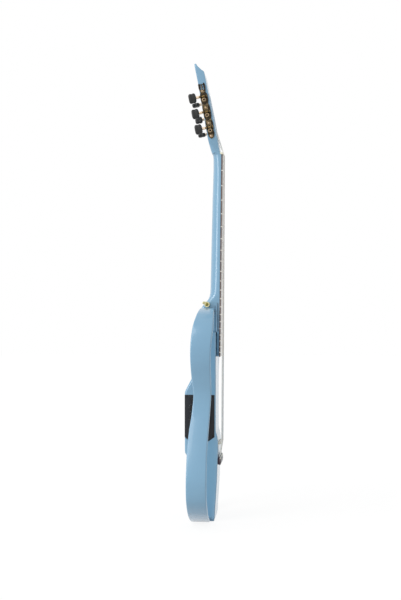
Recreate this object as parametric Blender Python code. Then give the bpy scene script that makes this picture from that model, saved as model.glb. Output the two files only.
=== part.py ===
"""A silent guitar: slim centre body, slotted headstock and two bent side frames.

Metres, +Z up along the neck, +X out of the front (the strings' side), +Y to the treble side.
The origin is below the middle of the whole guitar, at the height of the frames' lowest edge.
Every X below is measured from the flat front of the centre body, which stands FRONT_X ahead of the origin.
"""
import math

import bmesh
import bpy
from mathutils import Vector

FRONT_X = 0.0270          # the centre body's front plane, ahead of the origin
GAP = 0.0003              # air between two pieces that rest on each other

# Strings and fingerboard
SCALE_LENGTH = 0.650
NUT_Z = 0.8221
SADDLE_Z = NUT_Z - SCALE_LENGTH
FRETS = 20
BOARD_END_Z = 0.3665
NUT_WIDTH = 0.052
TWELFTH_FRET_WIDTH = 0.062
BOARD_THICKNESS = 0.0040
FRET_WIDTH = 0.0020
FRET_HEIGHT = 0.0009
GLUE_X_AT_NUT = 0.0100    # underside of the fingerboard at the nut
GLUE_X_AT_END = 0.0051    # and at its lower end, where the neck's tongue lies on the body
NUT_LENGTH = 0.0055
NUT_TOP_X = 0.0147
STRING_X_AT_NUT = 0.0156
STRING_X_AT_SADDLE = 0.0116
STRING_SPREAD_AT_NUT = 0.0430
STRING_SPREAD_AT_SADDLE = 0.0580
STRING_DIAMETERS = {6: 0.0011, 5: 0.0009, 4: 0.00075, 3: 0.0010, 2: 0.0008, 1: 0.0007}

# Truss rod, in a channel under the fingerboard
TRUSS_ROD_Z = (0.5300, 0.8050)
TRUSS_ROD_RADIUS = 0.0029
TRUSS_CHANNEL_HALF_WIDTH = 0.0033
TRUSS_CHANNEL_DEPTH = 0.0073

# Headstock, in its own frame: x out of its face, z along it from the nut
HEAD_LEAN = math.radians(11.3)
HEAD_FACE_X = 0.0075      # the headstock's face where it meets the neck
HEAD_LENGTH = 0.2045
HEAD_HALF_WIDTH = 0.0370
HEAD_THICK_AT_NUT = 0.0210
HEAD_THICK_AT_TIP = 0.0165
THROAT_LENGTH = 0.0340     # over which the back hollows down to the neck
THROAT_HOLLOW = 0.0032
SCOOP_START = 0.1820
SLOT_INNER_Y = 0.0085
SLOT_OUTER_Y = 0.0260
SLOT_BOTTOM_Z = 0.0190
SLOT_TOP_Z = 0.1370

# Tuners
TUNER_PITCH = 0.0353
FIRST_ROLLER_Z = 0.0486
ROLLER_X = -0.0110
ROLLER_RADIUS = 0.0048
ROLLER_INNER_Y = 0.0045
ROLLER_BORE_RADIUS = 0.0053
ROLLER_SHAFT_RADIUS = 0.0025
ROLLER_PLAY = 0.0009      # between a barrel's outer end and the plate
BORE_CLEARANCE = 0.0004   # round any shaft that turns
PLATE_INNER_Y = HEAD_HALF_WIDTH + GAP
PLATE_THICKNESS = 0.0012
PLATE_OUTER_Y = PLATE_INNER_Y + PLATE_THICKNESS
PLATE_BOTTOM_Z = 0.0310
PLATE_TOP_Z = 0.1575
GEAR_TEETH = 14
GEAR_PITCH_RADIUS = 0.0053
GEAR_TIP_RADIUS = 0.0055
GEAR_ROOT_RADIUS = 0.00455
GEAR_WIDTH = 0.0018
WORM_LEAD = 2.0 * math.pi * GEAR_PITCH_RADIUS / GEAR_TEETH
WORM_OFFSET = 0.0078      # from a roller's axis up to its worm's axis
WORM_MEAN_RADIUS = 0.0025
WORM_THREAD_DEPTH = 0.0009
WORM_TURNS = 3
WORM_SHAFT_RADIUS = 0.0016
WORM_Y = PLATE_OUTER_Y + GAP + WORM_MEAN_RADIUS + 0.5 * WORM_THREAD_DEPTH
LUG_NEAR = 0.0046         # inner faces of the two lugs that hold a worm, from its middle
LUG_THICKNESS = 0.0022
LUG_REACH = 0.0034        # round the worm's axis
LUG_ROOT = 0.0006         # how far a lug goes into the plate
BUTTON_START = 0.0169     # from the worm's middle back to the button's front end
BUTTON_LENGTH = 0.0165
BUTTON_BORE_RADIUS = 0.0020
SHAFT_IN_BUTTON = 0.0100
BUTTON_ROLL = {6: 0.0, 5: 6.0, 4: -4.0, 3: 88.0, 2: 48.0, 1: 84.0}

# Centre body
BODY_HALF_WIDTH = 0.0470
BODY_TOP_Z = 0.4222
HUMP_BACK_X = -0.0700
HEEL_HALF_WIDTH = 0.0300
SADDLE_LENGTH = 0.0734
SADDLE_THICKNESS = 0.0024
SADDLE_SLOT_FLOOR_X = 0.0010
PICKUP_THICKNESS = 0.0011
SADDLE_CREST = 0.0008     # from the saddle's top up to the strings' middles
TIE_BLOCK_Z = 0.1335
TIE_BLOCK_LENGTH = 0.0150
TIE_BLOCK_WIDTH = 0.0800
TIE_BLOCK_TOP_X = 0.0092

# Controls on the bass side of the body
PANEL_TOP_Z = 0.2820
PANEL_BOTTOM_Z = 0.1780
PANEL_CORNER_Z = 0.1880
PANEL_BACK_X = -0.0697
PANEL_FRONT_X = -0.0030
PANEL_THICKNESS = 0.0030
KNOB_RADIUS = 0.0072
KNOB_HEIGHT = 0.0110
KNOB_SHAFT_RADIUS = 0.0030
KNOB_SHAFT_LENGTH = 0.0130
POWER_HOLE_RADIUS = 0.0045
POWER_RADIUS = 0.0041
SWITCH_SLOT_HALF = (0.0060, 0.0020)
RIM_OVERLAP = 0.0008      # how far a jack's rim and nut stand past its hole in the panel
KNOBS = {
    "volume_knob": (-0.0510, 0.2525),
    "effect_knob": (-0.0250, 0.2525),
    "bass_knob": (-0.0510, 0.2295),
    "treble_knob": (-0.0250, 0.2295),
}
POWER_BUTTON_AT = (-0.0510, 0.2710)
EFFECT_SWITCH_AT = (-0.0250, 0.2710)
JACKS = {
    "headphone_jack": (-0.0560, 0.2045, 0.0018, 0.0042),
    "aux_in_jack": (-0.0410, 0.2045, 0.0018, 0.0042),
    "line_out_jack": (-0.0220, 0.2045, 0.0033, 0.0062),
    "dc_in_jack": (-0.0480, 0.1905, 0.0026, 0.0046),
}
CAVITY_BACK_X = -0.0640
CAVITY_FRONT_X = -0.0080
CAVITY_BOTTOM_Z = 0.1855
CAVITY_TOP_Z = 0.2775
CAVITY_FLOOR_Y = -0.0080
OUTSIDE_Y = -0.0600       # clear of the body's bass side, where cutters start
BEHIND_X = -0.0800        # clear of the body's back

# Battery bay in the hump
CELL_RADIUS = 0.00725
CELL_LENGTH = 0.0505
CELL_X = -0.0590
CELLS_Y = (0.0122, 0.0278)
CELL_BOTTOM_Z = 0.1965
DOOR_THICKNESS = 0.0017
DOOR_LOW = (0.0010, 0.1895)
DOOR_HIGH = (0.0390, 0.2545)
DOOR_LEDGE = 0.0030       # all round the bay, for the door to rest on
CELL_PLAY = 0.0010

# Side frames: the outer surface's y and z, then the back and front edges, from the body round to the tail
FRAME_THICKNESS = 0.0095
FRAME_CHAMFER = 0.0026
FRAME_STEPS = 2
FRAME_PATH = (
    (HEEL_HALF_WIDTH + GAP, 0.4760, -0.0330, -0.0030),
    (0.0500, 0.4758, -0.0340, -0.0025),
    (0.0640, 0.4745, -0.0355, -0.0018),
    (0.0950, 0.4630, -0.0390, -0.0005),
    (0.1220, 0.4365, -0.0450, 0.0),
    (0.1360, 0.4000, -0.0483, -0.0034),
    (0.1360, 0.3620, -0.0485, -0.0050),
    (0.1240, 0.3250, -0.0470, -0.0052),
    (0.1150, 0.2900, -0.0437, -0.0051),
    (0.1180, 0.2520, -0.0466, -0.0072),
    (0.1370, 0.2120, -0.0512, -0.0089),
    (0.1600, 0.1720, -0.0533, -0.0103),
    (0.1780, 0.1300, -0.0535, -0.0100),
    (0.1830, 0.1000, -0.0535, -0.0100),
    (0.1750, 0.0660, -0.0536, -0.0100),
    (0.1500, 0.0400, -0.0538, -0.0100),
    (0.1200, 0.0220, -0.0540, -0.0105),
    (0.0860, 0.0080, -0.0538, -0.0108),
    (0.0620, 0.0015, -0.0535, -0.0112),
    (BODY_HALF_WIDTH + GAP, 0.0, -0.0530, -0.0115),
)
UPPER_PEG_AT = (-0.0140, 0.4712)
UPPER_PEG_RADIUS = 0.0038
LOWER_PEG_AT = (-0.0300, 0.0052)
LOWER_PEG_RADIUS = 0.0028
PEG_LENGTH = 0.0140
THUMB_SCREW_FOOT = (-0.0276, 0.0180, 0.4860)
THUMB_SCREW_AXIS = (-0.780, 0.0, 0.626)
THUMB_SCREW_SHANK = 0.0150
THUMB_SCREW_RADIUS = 0.0020
THUMB_SCREW_HEAD_RADIUS = 0.0040
SEAT_RADIUS = 0.0045      # of the round seat that lets a thumb screw's head reach the heel's slope

# Strap buttons
STRAP_BUTTON_PROFILE = (
    (0.0, 0.0050), (0.0025, 0.0050), (0.0045, 0.0036), (0.0085, 0.0036), (0.0108, 0.0063), (0.0130, 0.0063),
    (0.0140, 0.0054),
)
HEEL_STRAP_AT = (-0.0200, 0.4842)
TAIL_STRAP_Z = 0.0600


def clear_scene():
    """Remove whatever the scene holds."""
    for thing in list(bpy.data.objects):
        bpy.data.objects.remove(thing, do_unlink=True)


def material(name, colour, roughness, metallic=0.0):
    """A plain Principled finish."""
    finish = bpy.data.materials.new(name)
    finish.use_nodes = True
    shader = finish.node_tree.nodes["Principled BSDF"]
    shader.inputs["Base Color"].default_value = (*colour, 1.0)
    shader.inputs["Roughness"].default_value = roughness
    shader.inputs["Metallic"].default_value = metallic
    finish.diffuse_color = (*colour, 1.0)
    return finish


def finishes():
    """Every finish on the guitar, by name."""
    return {
        "blue_paint": material("blue_paint", (0.25, 0.45, 0.60), 0.25),
        "rosewood": material("rosewood", (0.06, 0.035, 0.03), 0.45),
        "bone": material("bone", (0.87, 0.83, 0.70), 0.35),
        "steel": material("steel", (0.55, 0.56, 0.57), 0.30, 1.0),
        "old_gold": material("old_gold", (0.36, 0.27, 0.15), 0.40, 1.0),
        "brass": material("brass", (0.72, 0.58, 0.30), 0.25, 1.0),
        "black_plastic": material("black_plastic", (0.02, 0.02, 0.022), 0.35),
        "panel_plastic": material("panel_plastic", (0.028, 0.03, 0.035), 0.45),
        "white_plastic": material("white_plastic", (0.85, 0.84, 0.80), 0.35),
        "nylon": material("nylon", (0.80, 0.80, 0.78), 0.25),
        "silver_wire": material("silver_wire", (0.62, 0.61, 0.58), 0.35, 1.0),
        "board_green": material("board_green", (0.03, 0.16, 0.07), 0.50),
        "cell_jacket": material("cell_jacket", (0.30, 0.31, 0.33), 0.40, 0.6),
        "pickup_film": material("pickup_film", (0.55, 0.40, 0.22), 0.40, 0.8),
    }


def empty(name, parent=None, location=(0.0, 0.0, 0.0), turn=(0.0, 0.0, 0.0)):
    """A plain axis that other pieces are parented to."""
    axis = bpy.data.objects.new(name, None)
    axis.location = location
    axis.rotation_euler = turn
    axis.parent = parent
    bpy.context.scene.collection.objects.link(axis)
    return axis


def finish_mesh(name, shape, paint, parent, location=(0.0, 0.0, 0.0), smooth=False):
    """Turn a bmesh into a named object with one material."""
    bmesh.ops.recalc_face_normals(shape, faces=shape.faces)
    mesh = bpy.data.meshes.new(name)
    shape.to_mesh(mesh)
    shape.free()
    if smooth:
        mesh.shade_smooth()
        mesh.set_sharp_from_angle(angle=math.radians(35.0))
    mesh.materials.append(paint)
    piece = bpy.data.objects.new(name, mesh)
    piece.location = location
    piece.parent = parent
    bpy.context.scene.collection.objects.link(piece)
    return piece


def bridge(shape, first, second):
    """Join two closed rings; the second may have a whole multiple of the first's points."""
    if len(second) < len(first):
        first, second = second, first
    count = len(first)
    ratio = len(second) // count
    for i in range(count):
        corners = [first[i], first[(i + 1) % count]]
        for k in range(ratio, -1, -1):
            corners.append(second[(i * ratio + k) % len(second)])
        shape.faces.new(corners)


def loft(rings, shape=None):
    """One closed body through a list of rings of points, with a flat face on each end."""
    shape = shape or bmesh.new()
    loops = [[shape.verts.new(point) for point in ring] for ring in rings]
    shape.faces.new(loops[0])
    shape.faces.new(loops[-1])
    for first, second in zip(loops, loops[1:]):
        bridge(shape, first, second)
    return shape


def prism(outline, place):
    """A flat outline carried between two planes; place(u, v, side) gives a point for side 0 and 1."""
    return loft([[place(u, v, side) for u, v in outline] for side in (0, 1)])


def block(low, high, shape=None):
    """A box between two corners."""
    base = [(low[0], low[1]), (high[0], low[1]), (high[0], high[1]), (low[0], high[1])]
    return loft([[(x, y, z) for x, y in base] for z in (low[2], high[2])], shape)


def circle(centre, axis, start, radius, sides, phase=0.0):
    """Points round a centre, in the plane square to axis, the first one towards start."""
    across = Vector(axis).cross(Vector(start))
    ring = []
    for k in range(sides):
        angle = phase + 2.0 * math.pi * k / sides
        ring.append(Vector(centre) + radius * (math.cos(angle) * Vector(start) + math.sin(angle) * across))
    return ring


def turned(profile, axis, start, sides, centre=(0.0, 0.0, 0.0), shape=None):
    """A round piece from (distance along axis, radius) pairs."""
    rings = []
    for along, radius in profile:
        rings.append(circle(Vector(centre) + along * Vector(axis), axis, start, radius, sides))
    return loft(rings, shape)


def rod(low, high, radius, sides, shape=None):
    """A straight round bar between two points."""
    low, high = Vector(low), Vector(high)
    axis = (high - low).normalized()
    start = Vector((1.0, 0.0, 0.0)) if abs(axis.x) < 0.9 else Vector((0.0, 0.0, 1.0))
    start = (start - start.dot(axis) * axis).normalized()
    rings = [circle(end, axis, start, radius, sides) for end in (low, high)]
    return loft(rings, shape)


def cutter(name, shape, parent):
    """A guide shape that only cuts or joins."""
    guide = finish_mesh(name, shape, bpy.data.materials["steel"], parent)
    guide.hide_render = True
    guide.display_type = "WIRE"
    return guide


def combine(piece, guide, operation):
    """Cut a piece by a guide, or join the guide to it."""
    change = piece.modifiers.new(guide.name, "BOOLEAN")
    change.operation = operation
    change.solver = "EXACT"
    change.object = guide


def between(low, high, share):
    """A value part of the way from low to high."""
    return low + (high - low) * share


def table(rows, at):
    """Read a value off (place, value) rows, straight between them; places run downwards or upwards."""
    rows = sorted(rows)
    if at <= rows[0][0]:
        return rows[0][1]
    for (low, first), (high, second) in zip(rows, rows[1:]):
        if at <= high:
            return between(first, second, (at - low) / (high - low))
    return rows[-1][1]


def smooth_path(points, steps):
    """A Catmull-Rom curve through points of any length, with steps spans between neighbours."""
    ends = [points[0]] + list(points) + [points[-1]]
    curve = []
    for p0, p1, p2, p3 in zip(ends, ends[1:], ends[2:], ends[3:]):
        for k in range(steps):
            t = k / steps
            curve.append(tuple(
                0.5 * (2 * b + (c - a) * t + (2 * a - 5 * b + 4 * c - d) * t * t
                       + (3 * b - a - 3 * c + d) * t ** 3)
                for a, b, c, d in zip(p0, p1, p2, p3)
            ))
    curve.append(tuple(points[-1]))
    return curve


def glue_x(z):
    """Underside of the fingerboard at a height."""
    return between(GLUE_X_AT_END, GLUE_X_AT_NUT, (z - BOARD_END_Z) / (NUT_Z - BOARD_END_Z))


def board_half_width(z):
    """Half the fingerboard's width at a height."""
    growth = (TWELFTH_FRET_WIDTH - NUT_WIDTH) / (0.5 * SCALE_LENGTH)
    return 0.5 * (NUT_WIDTH + growth * (NUT_Z - z))


def front_x(z):
    """Front of the centre body at a height: flat, then a low rise that carries the saddle."""
    rows = (
        (0.0, -0.0055), (0.0025, -0.0032), (0.009, -0.0022), (0.025, -0.0018), (0.048, 0.0), (0.090, 0.0025),
        (0.115, 0.0034), (0.148, 0.0043), (0.156, 0.0050), (0.178, 0.0050), (0.190, 0.0030), (0.200, 0.0),
    )
    return table(rows, z)


def back_x(z):
    """Back of the centre body at a height: tail, battery hump, waist and the slope up to the heel."""
    rows = (
        (0.0, -0.0460), (0.0025, -0.0485), (0.009, -0.0500), (0.136, -0.0500), (0.140, -0.0580),
        (0.1455, -0.0660), (0.1525, HUMP_BACK_X), (0.2885, HUMP_BACK_X), (0.310, -0.0590), (0.3335, -0.0465),
        (0.350, -0.0450), (BODY_TOP_Z, -0.0420),
    )
    return table(rows, z)


def head_thickness(z):
    """The headstock's thickness: it tapers to the tip, and hollows at the back near the neck."""
    hollow = THROAT_HOLLOW * max(0.0, 1.0 - z / THROAT_LENGTH) ** 2
    return between(HEAD_THICK_AT_NUT, HEAD_THICK_AT_TIP, z / HEAD_LENGTH) - hollow


def neck_ring(z, half_width, front, back, power, tilt=0.0):
    """A flat-fronted neck section; a high power makes its back squarer."""
    ring = []
    sides = 11
    for k in range(sides + 1):
        angle = math.pi * k / sides
        across = math.copysign(abs(math.cos(angle)) ** (2.0 / power), math.cos(angle))
        depth = abs(math.sin(angle)) ** (2.0 / power)
        x = between(front, back, depth)
        ring.append((x, half_width * across, z + (x - front) * tilt))
    return ring


def build_neck(guitar, paint):
    """Shaft, heel block and the tongue that lies on the body under the last frets."""
    tilt = math.tan(HEAD_LEAN)
    head_z = NUT_Z + NUT_LENGTH
    head_back = HEAD_FACE_X - head_thickness(0.0) * math.cos(HEAD_LEAN)
    half = 0.5 * NUT_WIDTH + 0.001
    rings = [neck_ring(head_z - GAP, half, HEAD_FACE_X, head_back, 3.2, tilt),
             neck_ring(NUT_Z, half - 0.0006, HEAD_FACE_X, -0.0098, 2.6),
             neck_ring(NUT_Z - GAP, half - 0.0008, glue_x(NUT_Z), -0.0098, 2.5)]
    shaft = (
        (0.8115, -0.0098, 2.3), (0.7855, -0.0096, 2.1), (0.7125, -0.0115, 2.1), (0.6060, -0.0140, 2.1),
        (0.5200, -0.0157, 2.2), (0.5075, -0.0162, 2.4), (0.5000, -0.0180, 3.0), (0.4940, -0.0205, 4.5),
        (0.4896, -0.0247, 6.5), (0.4805, -0.0320, 9.0), (0.4720, -0.0372, 9.0), (0.4620, -0.0405, 9.0),
        (0.4450, -0.0420, 9.0), (BODY_TOP_Z + 2 * GAP, -0.0420, 9.0),
    )
    for z, back, power in shaft:
        width = min(board_half_width(z), HEEL_HALF_WIDTH + max(0.0, 0.15 * (z - 0.497)))
        rings.append(neck_ring(z, width, glue_x(z), back, power))
    end_radius = 0.018
    tongue = [(BODY_TOP_Z + 2 * GAP, 0.0), (BOARD_END_Z + end_radius, 0.0), (BOARD_END_Z + 0.006, 0.004),
              (BOARD_END_Z, 0.014)]
    for z, shrink in tongue:
        width = board_half_width(z) - shrink - 0.0005
        rings.append(neck_ring(z, width, glue_x(z), GAP, 9.0))
    neck = finish_mesh("neck", loft(rings), paint["blue_paint"], guitar, smooth=True)
    low, high = TRUSS_ROD_Z
    wall = TRUSS_CHANNEL_HALF_WIDTH
    channel = []
    for z in TRUSS_ROD_Z:
        above, floor = glue_x(z) + 0.001, glue_x(z) - TRUSS_CHANNEL_DEPTH
        channel.append([(above, -wall, z), (above, wall, z), (floor, wall, z), (floor, -wall, z)])
    combine(neck, cutter("truss_rod_channel", loft(channel), guitar), "DIFFERENCE")
    pegs = bmesh.new()
    seats = bmesh.new()
    for side in (-1, 1):
        x, z = UPPER_PEG_AT
        rod((x, side * (HEEL_HALF_WIDTH - PEG_LENGTH - GAP), z), (x, side * (HEEL_HALF_WIDTH + 0.010), z),
            UPPER_PEG_RADIUS + GAP, 10, pegs)
        x, y, z = THUMB_SCREW_FOOT
        seat = ((-THUMB_SCREW_SHANK - GAP, THUMB_SCREW_RADIUS + GAP), (0.0, THUMB_SCREW_RADIUS + GAP),
                (0.0, SEAT_RADIUS), (0.0150, SEAT_RADIUS))
        turned(seat, THUMB_SCREW_AXIS, (0, 1, 0), 12, (x, side * y, z), seats)
    combine(neck, cutter("upper_peg_sockets", pegs, guitar), "DIFFERENCE")
    combine(neck, cutter("thumb_screw_seats", seats, guitar), "DIFFERENCE")
    inset = 0.001
    depth = TRUSS_ROD_RADIUS + inset
    bar = rod((glue_x(low + inset) - depth, 0, low + inset), (glue_x(high - inset) - depth, 0, high - inset),
              TRUSS_ROD_RADIUS, 8)
    finish_mesh("truss_rod", bar, paint["steel"], guitar)


def build_fingerboard(guitar, paint):
    """Tapered board with its fret wires standing on it, and the nut above it."""
    stations = [(NUT_Z - GAP, 0.0)]
    for fret in range(1, FRETS + 1):
        z = NUT_Z - SCALE_LENGTH * (1.0 - 2.0 ** (-fret / 12.0))
        for offset, rise in ((0.5, 0.0), (0.28, 1.0), (-0.28, 1.0), (-0.5, 0.0)):
            stations.append((z + offset * FRET_WIDTH, rise * FRET_HEIGHT))
    stations.append((BOARD_END_Z, 0.0))
    rings = []
    for z, rise in stations:
        half = board_half_width(z)
        under = glue_x(z) + GAP
        top = glue_x(z) + BOARD_THICKNESS + rise
        rings.append([(under, -half, z), (under, half, z), (top, half, z), (top, -half, z)])
    finish_mesh("fingerboard", loft(rings), paint["rosewood"], guitar)
    half = 0.5 * NUT_WIDTH
    head_face = HEAD_FACE_X + GAP
    section = [(head_face, NUT_Z), (NUT_TOP_X - 0.0008, NUT_Z), (NUT_TOP_X, NUT_Z + 0.0014),
               (NUT_TOP_X - 0.0012, NUT_Z + NUT_LENGTH - 0.0008), (head_face, NUT_Z + NUT_LENGTH - 0.0008)]
    nut = prism(section, lambda x, z, side: (x, half * (2 * side - 1), z))
    finish_mesh("nut", nut, paint["bone"], guitar)


def head_half_width(z):
    """Half the headstock's width: it flares from the neck to its full width."""
    rows = ((0.0, 0.0270), (0.008, 0.0280), (0.016, 0.0325), (0.024, 0.0358), (0.030, 0.0368),
            (0.040, HEAD_HALF_WIDTH), (0.190, HEAD_HALF_WIDTH), (0.199, 0.0355), (HEAD_LENGTH, 0.0325))
    return table(rows, z)


def build_headstock(head, paint):
    """Slotted head with the scooped upper end and six blind roller bores."""
    scoop = ((0.0, 0.0), (SCOOP_START, 0.0), (0.1843, -0.0012), (0.1873, -0.0049), (0.1926, -0.0084),
             (0.1979, -0.0119), (HEAD_LENGTH, -0.0144))
    heights = (0.0, 0.008, 0.016, 0.024, 0.030, 0.040, 0.110, SCOOP_START, 0.1843, 0.1873, 0.1926, 0.1979,
               HEAD_LENGTH)
    chamfer = 0.0012
    rings = []
    for z in heights:
        front = table(scoop, z)
        back = -head_thickness(z)
        half = head_half_width(z)
        edge = min(chamfer, 0.3 * (front - back))
        rings.append([
            (front, -half + edge, z), (front, half - edge, z), (front - edge, half, z), (back + edge, half, z),
            (back, half - edge, z), (back, -half + edge, z), (back + edge, -half, z), (front - edge, -half, z),
        ])
    headstock = finish_mesh("headstock", loft(rings), paint["blue_paint"], head)
    for side, name in ((-1, "bass"), (1, "treble")):
        middle = 0.5 * (SLOT_INNER_Y + SLOT_OUTER_Y)
        radius = 0.5 * (SLOT_OUTER_Y - SLOT_INNER_Y)
        outline = []
        for centre, first in ((SLOT_TOP_Z - radius, 0.0), (SLOT_BOTTOM_Z + radius, math.pi)):
            for k in range(7):
                angle = first + math.pi * k / 6
                outline.append((middle + radius * math.cos(angle), centre + radius * math.sin(angle)))
        above, below = 0.010, -HEAD_THICK_AT_NUT - 0.010
        slot = prism(outline, lambda y, z, end: ((above, below)[end], side * y, z))
        combine(headstock, cutter("slot_" + name, slot, head), "DIFFERENCE")
        bores = bmesh.new()
        for row in range(3):
            z = FIRST_ROLLER_Z + TUNER_PITCH * row
            rod((ROLLER_X, side * (ROLLER_INNER_Y - GAP), z), (ROLLER_X, side * (HEAD_HALF_WIDTH + 0.013), z),
                ROLLER_BORE_RADIUS, 14, bores)
        combine(headstock, cutter("roller_bores_" + name, bores, head), "DIFFERENCE")


def lyre_outline():
    """Half by half, the edge of a tuner plate: waved sides, a rounded foot and two horns round an open top."""
    length = PLATE_TOP_Z - PLATE_BOTTOM_Z
    half = [
        (0.0, 0.0), (0.0035, 0.0012), (0.0068, 0.0055), (0.0082, 0.0120), (0.0072, 0.0170), (0.0088, 0.0240),
        (0.0092, 0.0370), (0.0074, 0.0440), (0.0092, 0.0520), (0.0092, 0.0720), (0.0074, 0.0790),
        (0.0092, 0.0870), (0.0090, 0.1000), (0.0070, 0.1060), (0.0086, 0.1130), (0.0088, 0.1200),
        (0.0070, 0.1250), (0.0048, length), (0.0040, 0.1240), (0.0052, 0.1180), (0.0038, 0.1120),
    ]
    low = (0.0, 0.1090)
    left = [(-x, z) for x, z in reversed(half[1:])]
    return half + [low] + left


def build_tuner_plate(side, name, head, paint):
    """A plate with two lugs for each worm and a bore for each roller's shaft."""
    outline = [(ROLLER_X + x, PLATE_BOTTOM_Z + z) for x, z in lyre_outline()]
    faces = (PLATE_INNER_Y, PLATE_OUTER_Y)
    plate = finish_mesh(name, prism(outline, lambda x, z, end: (x, side * faces[end], z)), paint["old_gold"],
                        head)
    lugs = bmesh.new()
    bores = bmesh.new()
    for row in range(3):
        roller_z = FIRST_ROLLER_Z + TUNER_PITCH * row
        worm_z = roller_z + WORM_OFFSET
        for end in (-1, 1):
            near = ROLLER_X + end * LUG_NEAR
            far = near + end * LUG_THICKNESS
            root, top, flat = PLATE_OUTER_Y - LUG_ROOT, WORM_Y + LUG_REACH, 0.45 * LUG_REACH
            section = [(root, -LUG_REACH), (root, LUG_REACH), (top - 0.0020, LUG_REACH), (top, flat),
                       (top, -flat), (top - 0.0020, -LUG_REACH)]
            loft([[(x, side * y, worm_z + z) for y, z in section] for x in (near, far)], lugs)
        rod((ROLLER_X + 0.012, side * WORM_Y, worm_z), (ROLLER_X - 0.012, side * WORM_Y, worm_z),
            WORM_SHAFT_RADIUS + BORE_CLEARANCE, 8, bores)
        rod((ROLLER_X, side * (PLATE_INNER_Y - 0.007), roller_z),
            (ROLLER_X, side * (PLATE_OUTER_Y + 0.0015), roller_z), ROLLER_SHAFT_RADIUS + BORE_CLEARANCE, 14,
            bores)
    combine(plate, cutter(name + "_lugs", lugs, head), "UNION")
    combine(plate, cutter(name + "_bores", bores, head), "DIFFERENCE")


def gear_ring(y):
    """Four points to a tooth, one tooth pointing up at the worm; the shaft's ring starts there too."""
    step = 2.0 * math.pi / GEAR_TEETH
    ring = []
    for tooth in range(GEAR_TEETH):
        for share, radius in ((-0.30, GEAR_ROOT_RADIUS), (-0.10, GEAR_TIP_RADIUS), (0.10, GEAR_TIP_RADIUS),
                              (0.30, GEAR_ROOT_RADIUS)):
            angle = step * (tooth + share)
            ring.append((radius * math.sin(angle), y, radius * math.cos(angle)))
    return ring


def plain_ring(y, radius):
    """A round section with a point for each gear tooth, each a third of a tooth before that tooth."""
    step = 2.0 * math.pi / GEAR_TEETH
    return [(radius * math.sin(step * (k - 0.3)), y, radius * math.cos(step * (k - 0.3)))
            for k in range(GEAR_TEETH)]


def build_roller(string, side, row, head, paint):
    """Barrel in the slot, shaft through the plate, gear outside it. Its origin is on its axis."""
    gear_low = WORM_Y - 0.5 * GEAR_WIDTH
    gear_high = WORM_Y + 0.5 * GEAR_WIDTH
    rings = [
        plain_ring(ROLLER_INNER_Y, ROLLER_RADIUS), plain_ring(PLATE_INNER_Y - ROLLER_PLAY, ROLLER_RADIUS),
        plain_ring(PLATE_INNER_Y - ROLLER_PLAY, ROLLER_SHAFT_RADIUS), plain_ring(gear_low, ROLLER_SHAFT_RADIUS),
        gear_ring(gear_low), gear_ring(gear_high), plain_ring(gear_high, 0.9 * ROLLER_SHAFT_RADIUS),
        plain_ring(gear_high + 0.0012, 0.75 * ROLLER_SHAFT_RADIUS),
    ]
    rings = [[(x, side * y, z) for x, y, z in ring] for ring in rings]
    place = (ROLLER_X, 0.0, FIRST_ROLLER_Z + TUNER_PITCH * row)
    finish_mesh("tuner_roller_%d" % string, loft(rings), paint["white_plastic"], head, place)


def build_worm(string, side, row, head, paint):
    """Right-hand worm on its shaft. Its origin is on its axis, level with the roller's axis."""
    axis = Vector((-1.0, 0.0, 0.0))
    towards_gear = Vector((0.0, 0.0, -1.0))
    sides = 8
    across = axis.cross(towards_gear)
    rings = [circle(-0.0084 * axis, axis, towards_gear, 0.0023, sides),
             circle(-0.0072 * axis, axis, towards_gear, 0.0027, sides),
             circle(-0.0071 * axis, axis, towards_gear, WORM_SHAFT_RADIUS, sides)]
    samples = 5 * WORM_TURNS
    length = WORM_LEAD * WORM_TURNS
    for k in range(samples + 1):
        along = length * (k / samples - 0.5)
        fade = 0.0 if k in (0, samples) else 1.0
        ring = []
        for j in range(sides):
            angle = 2.0 * math.pi * j / sides
            wave = math.cos(2.0 * math.pi * along / WORM_LEAD - angle + math.pi)
            radius = between(WORM_SHAFT_RADIUS, WORM_MEAN_RADIUS + 0.5 * WORM_THREAD_DEPTH * wave, fade)
            ring.append(along * axis + radius * (math.cos(angle) * towards_gear + math.sin(angle) * across))
        rings.append(ring)
    for along, radius in ((0.0071, WORM_SHAFT_RADIUS), (0.0072, 0.0027), (0.0090, 0.0027), (0.0105, 0.0020),
                          (BUTTON_START - GAP, 0.0020), (BUTTON_START - GAP, WORM_SHAFT_RADIUS),
                          (BUTTON_START + SHAFT_IN_BUTTON, WORM_SHAFT_RADIUS)):
        rings.append(circle(along * axis, axis, towards_gear, radius, sides))
    place = (ROLLER_X, side * WORM_Y, FIRST_ROLLER_Z + TUNER_PITCH * row + WORM_OFFSET)
    finish_mesh("tuner_worm_%d" % string, loft(rings), paint["old_gold"], head, place)


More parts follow.
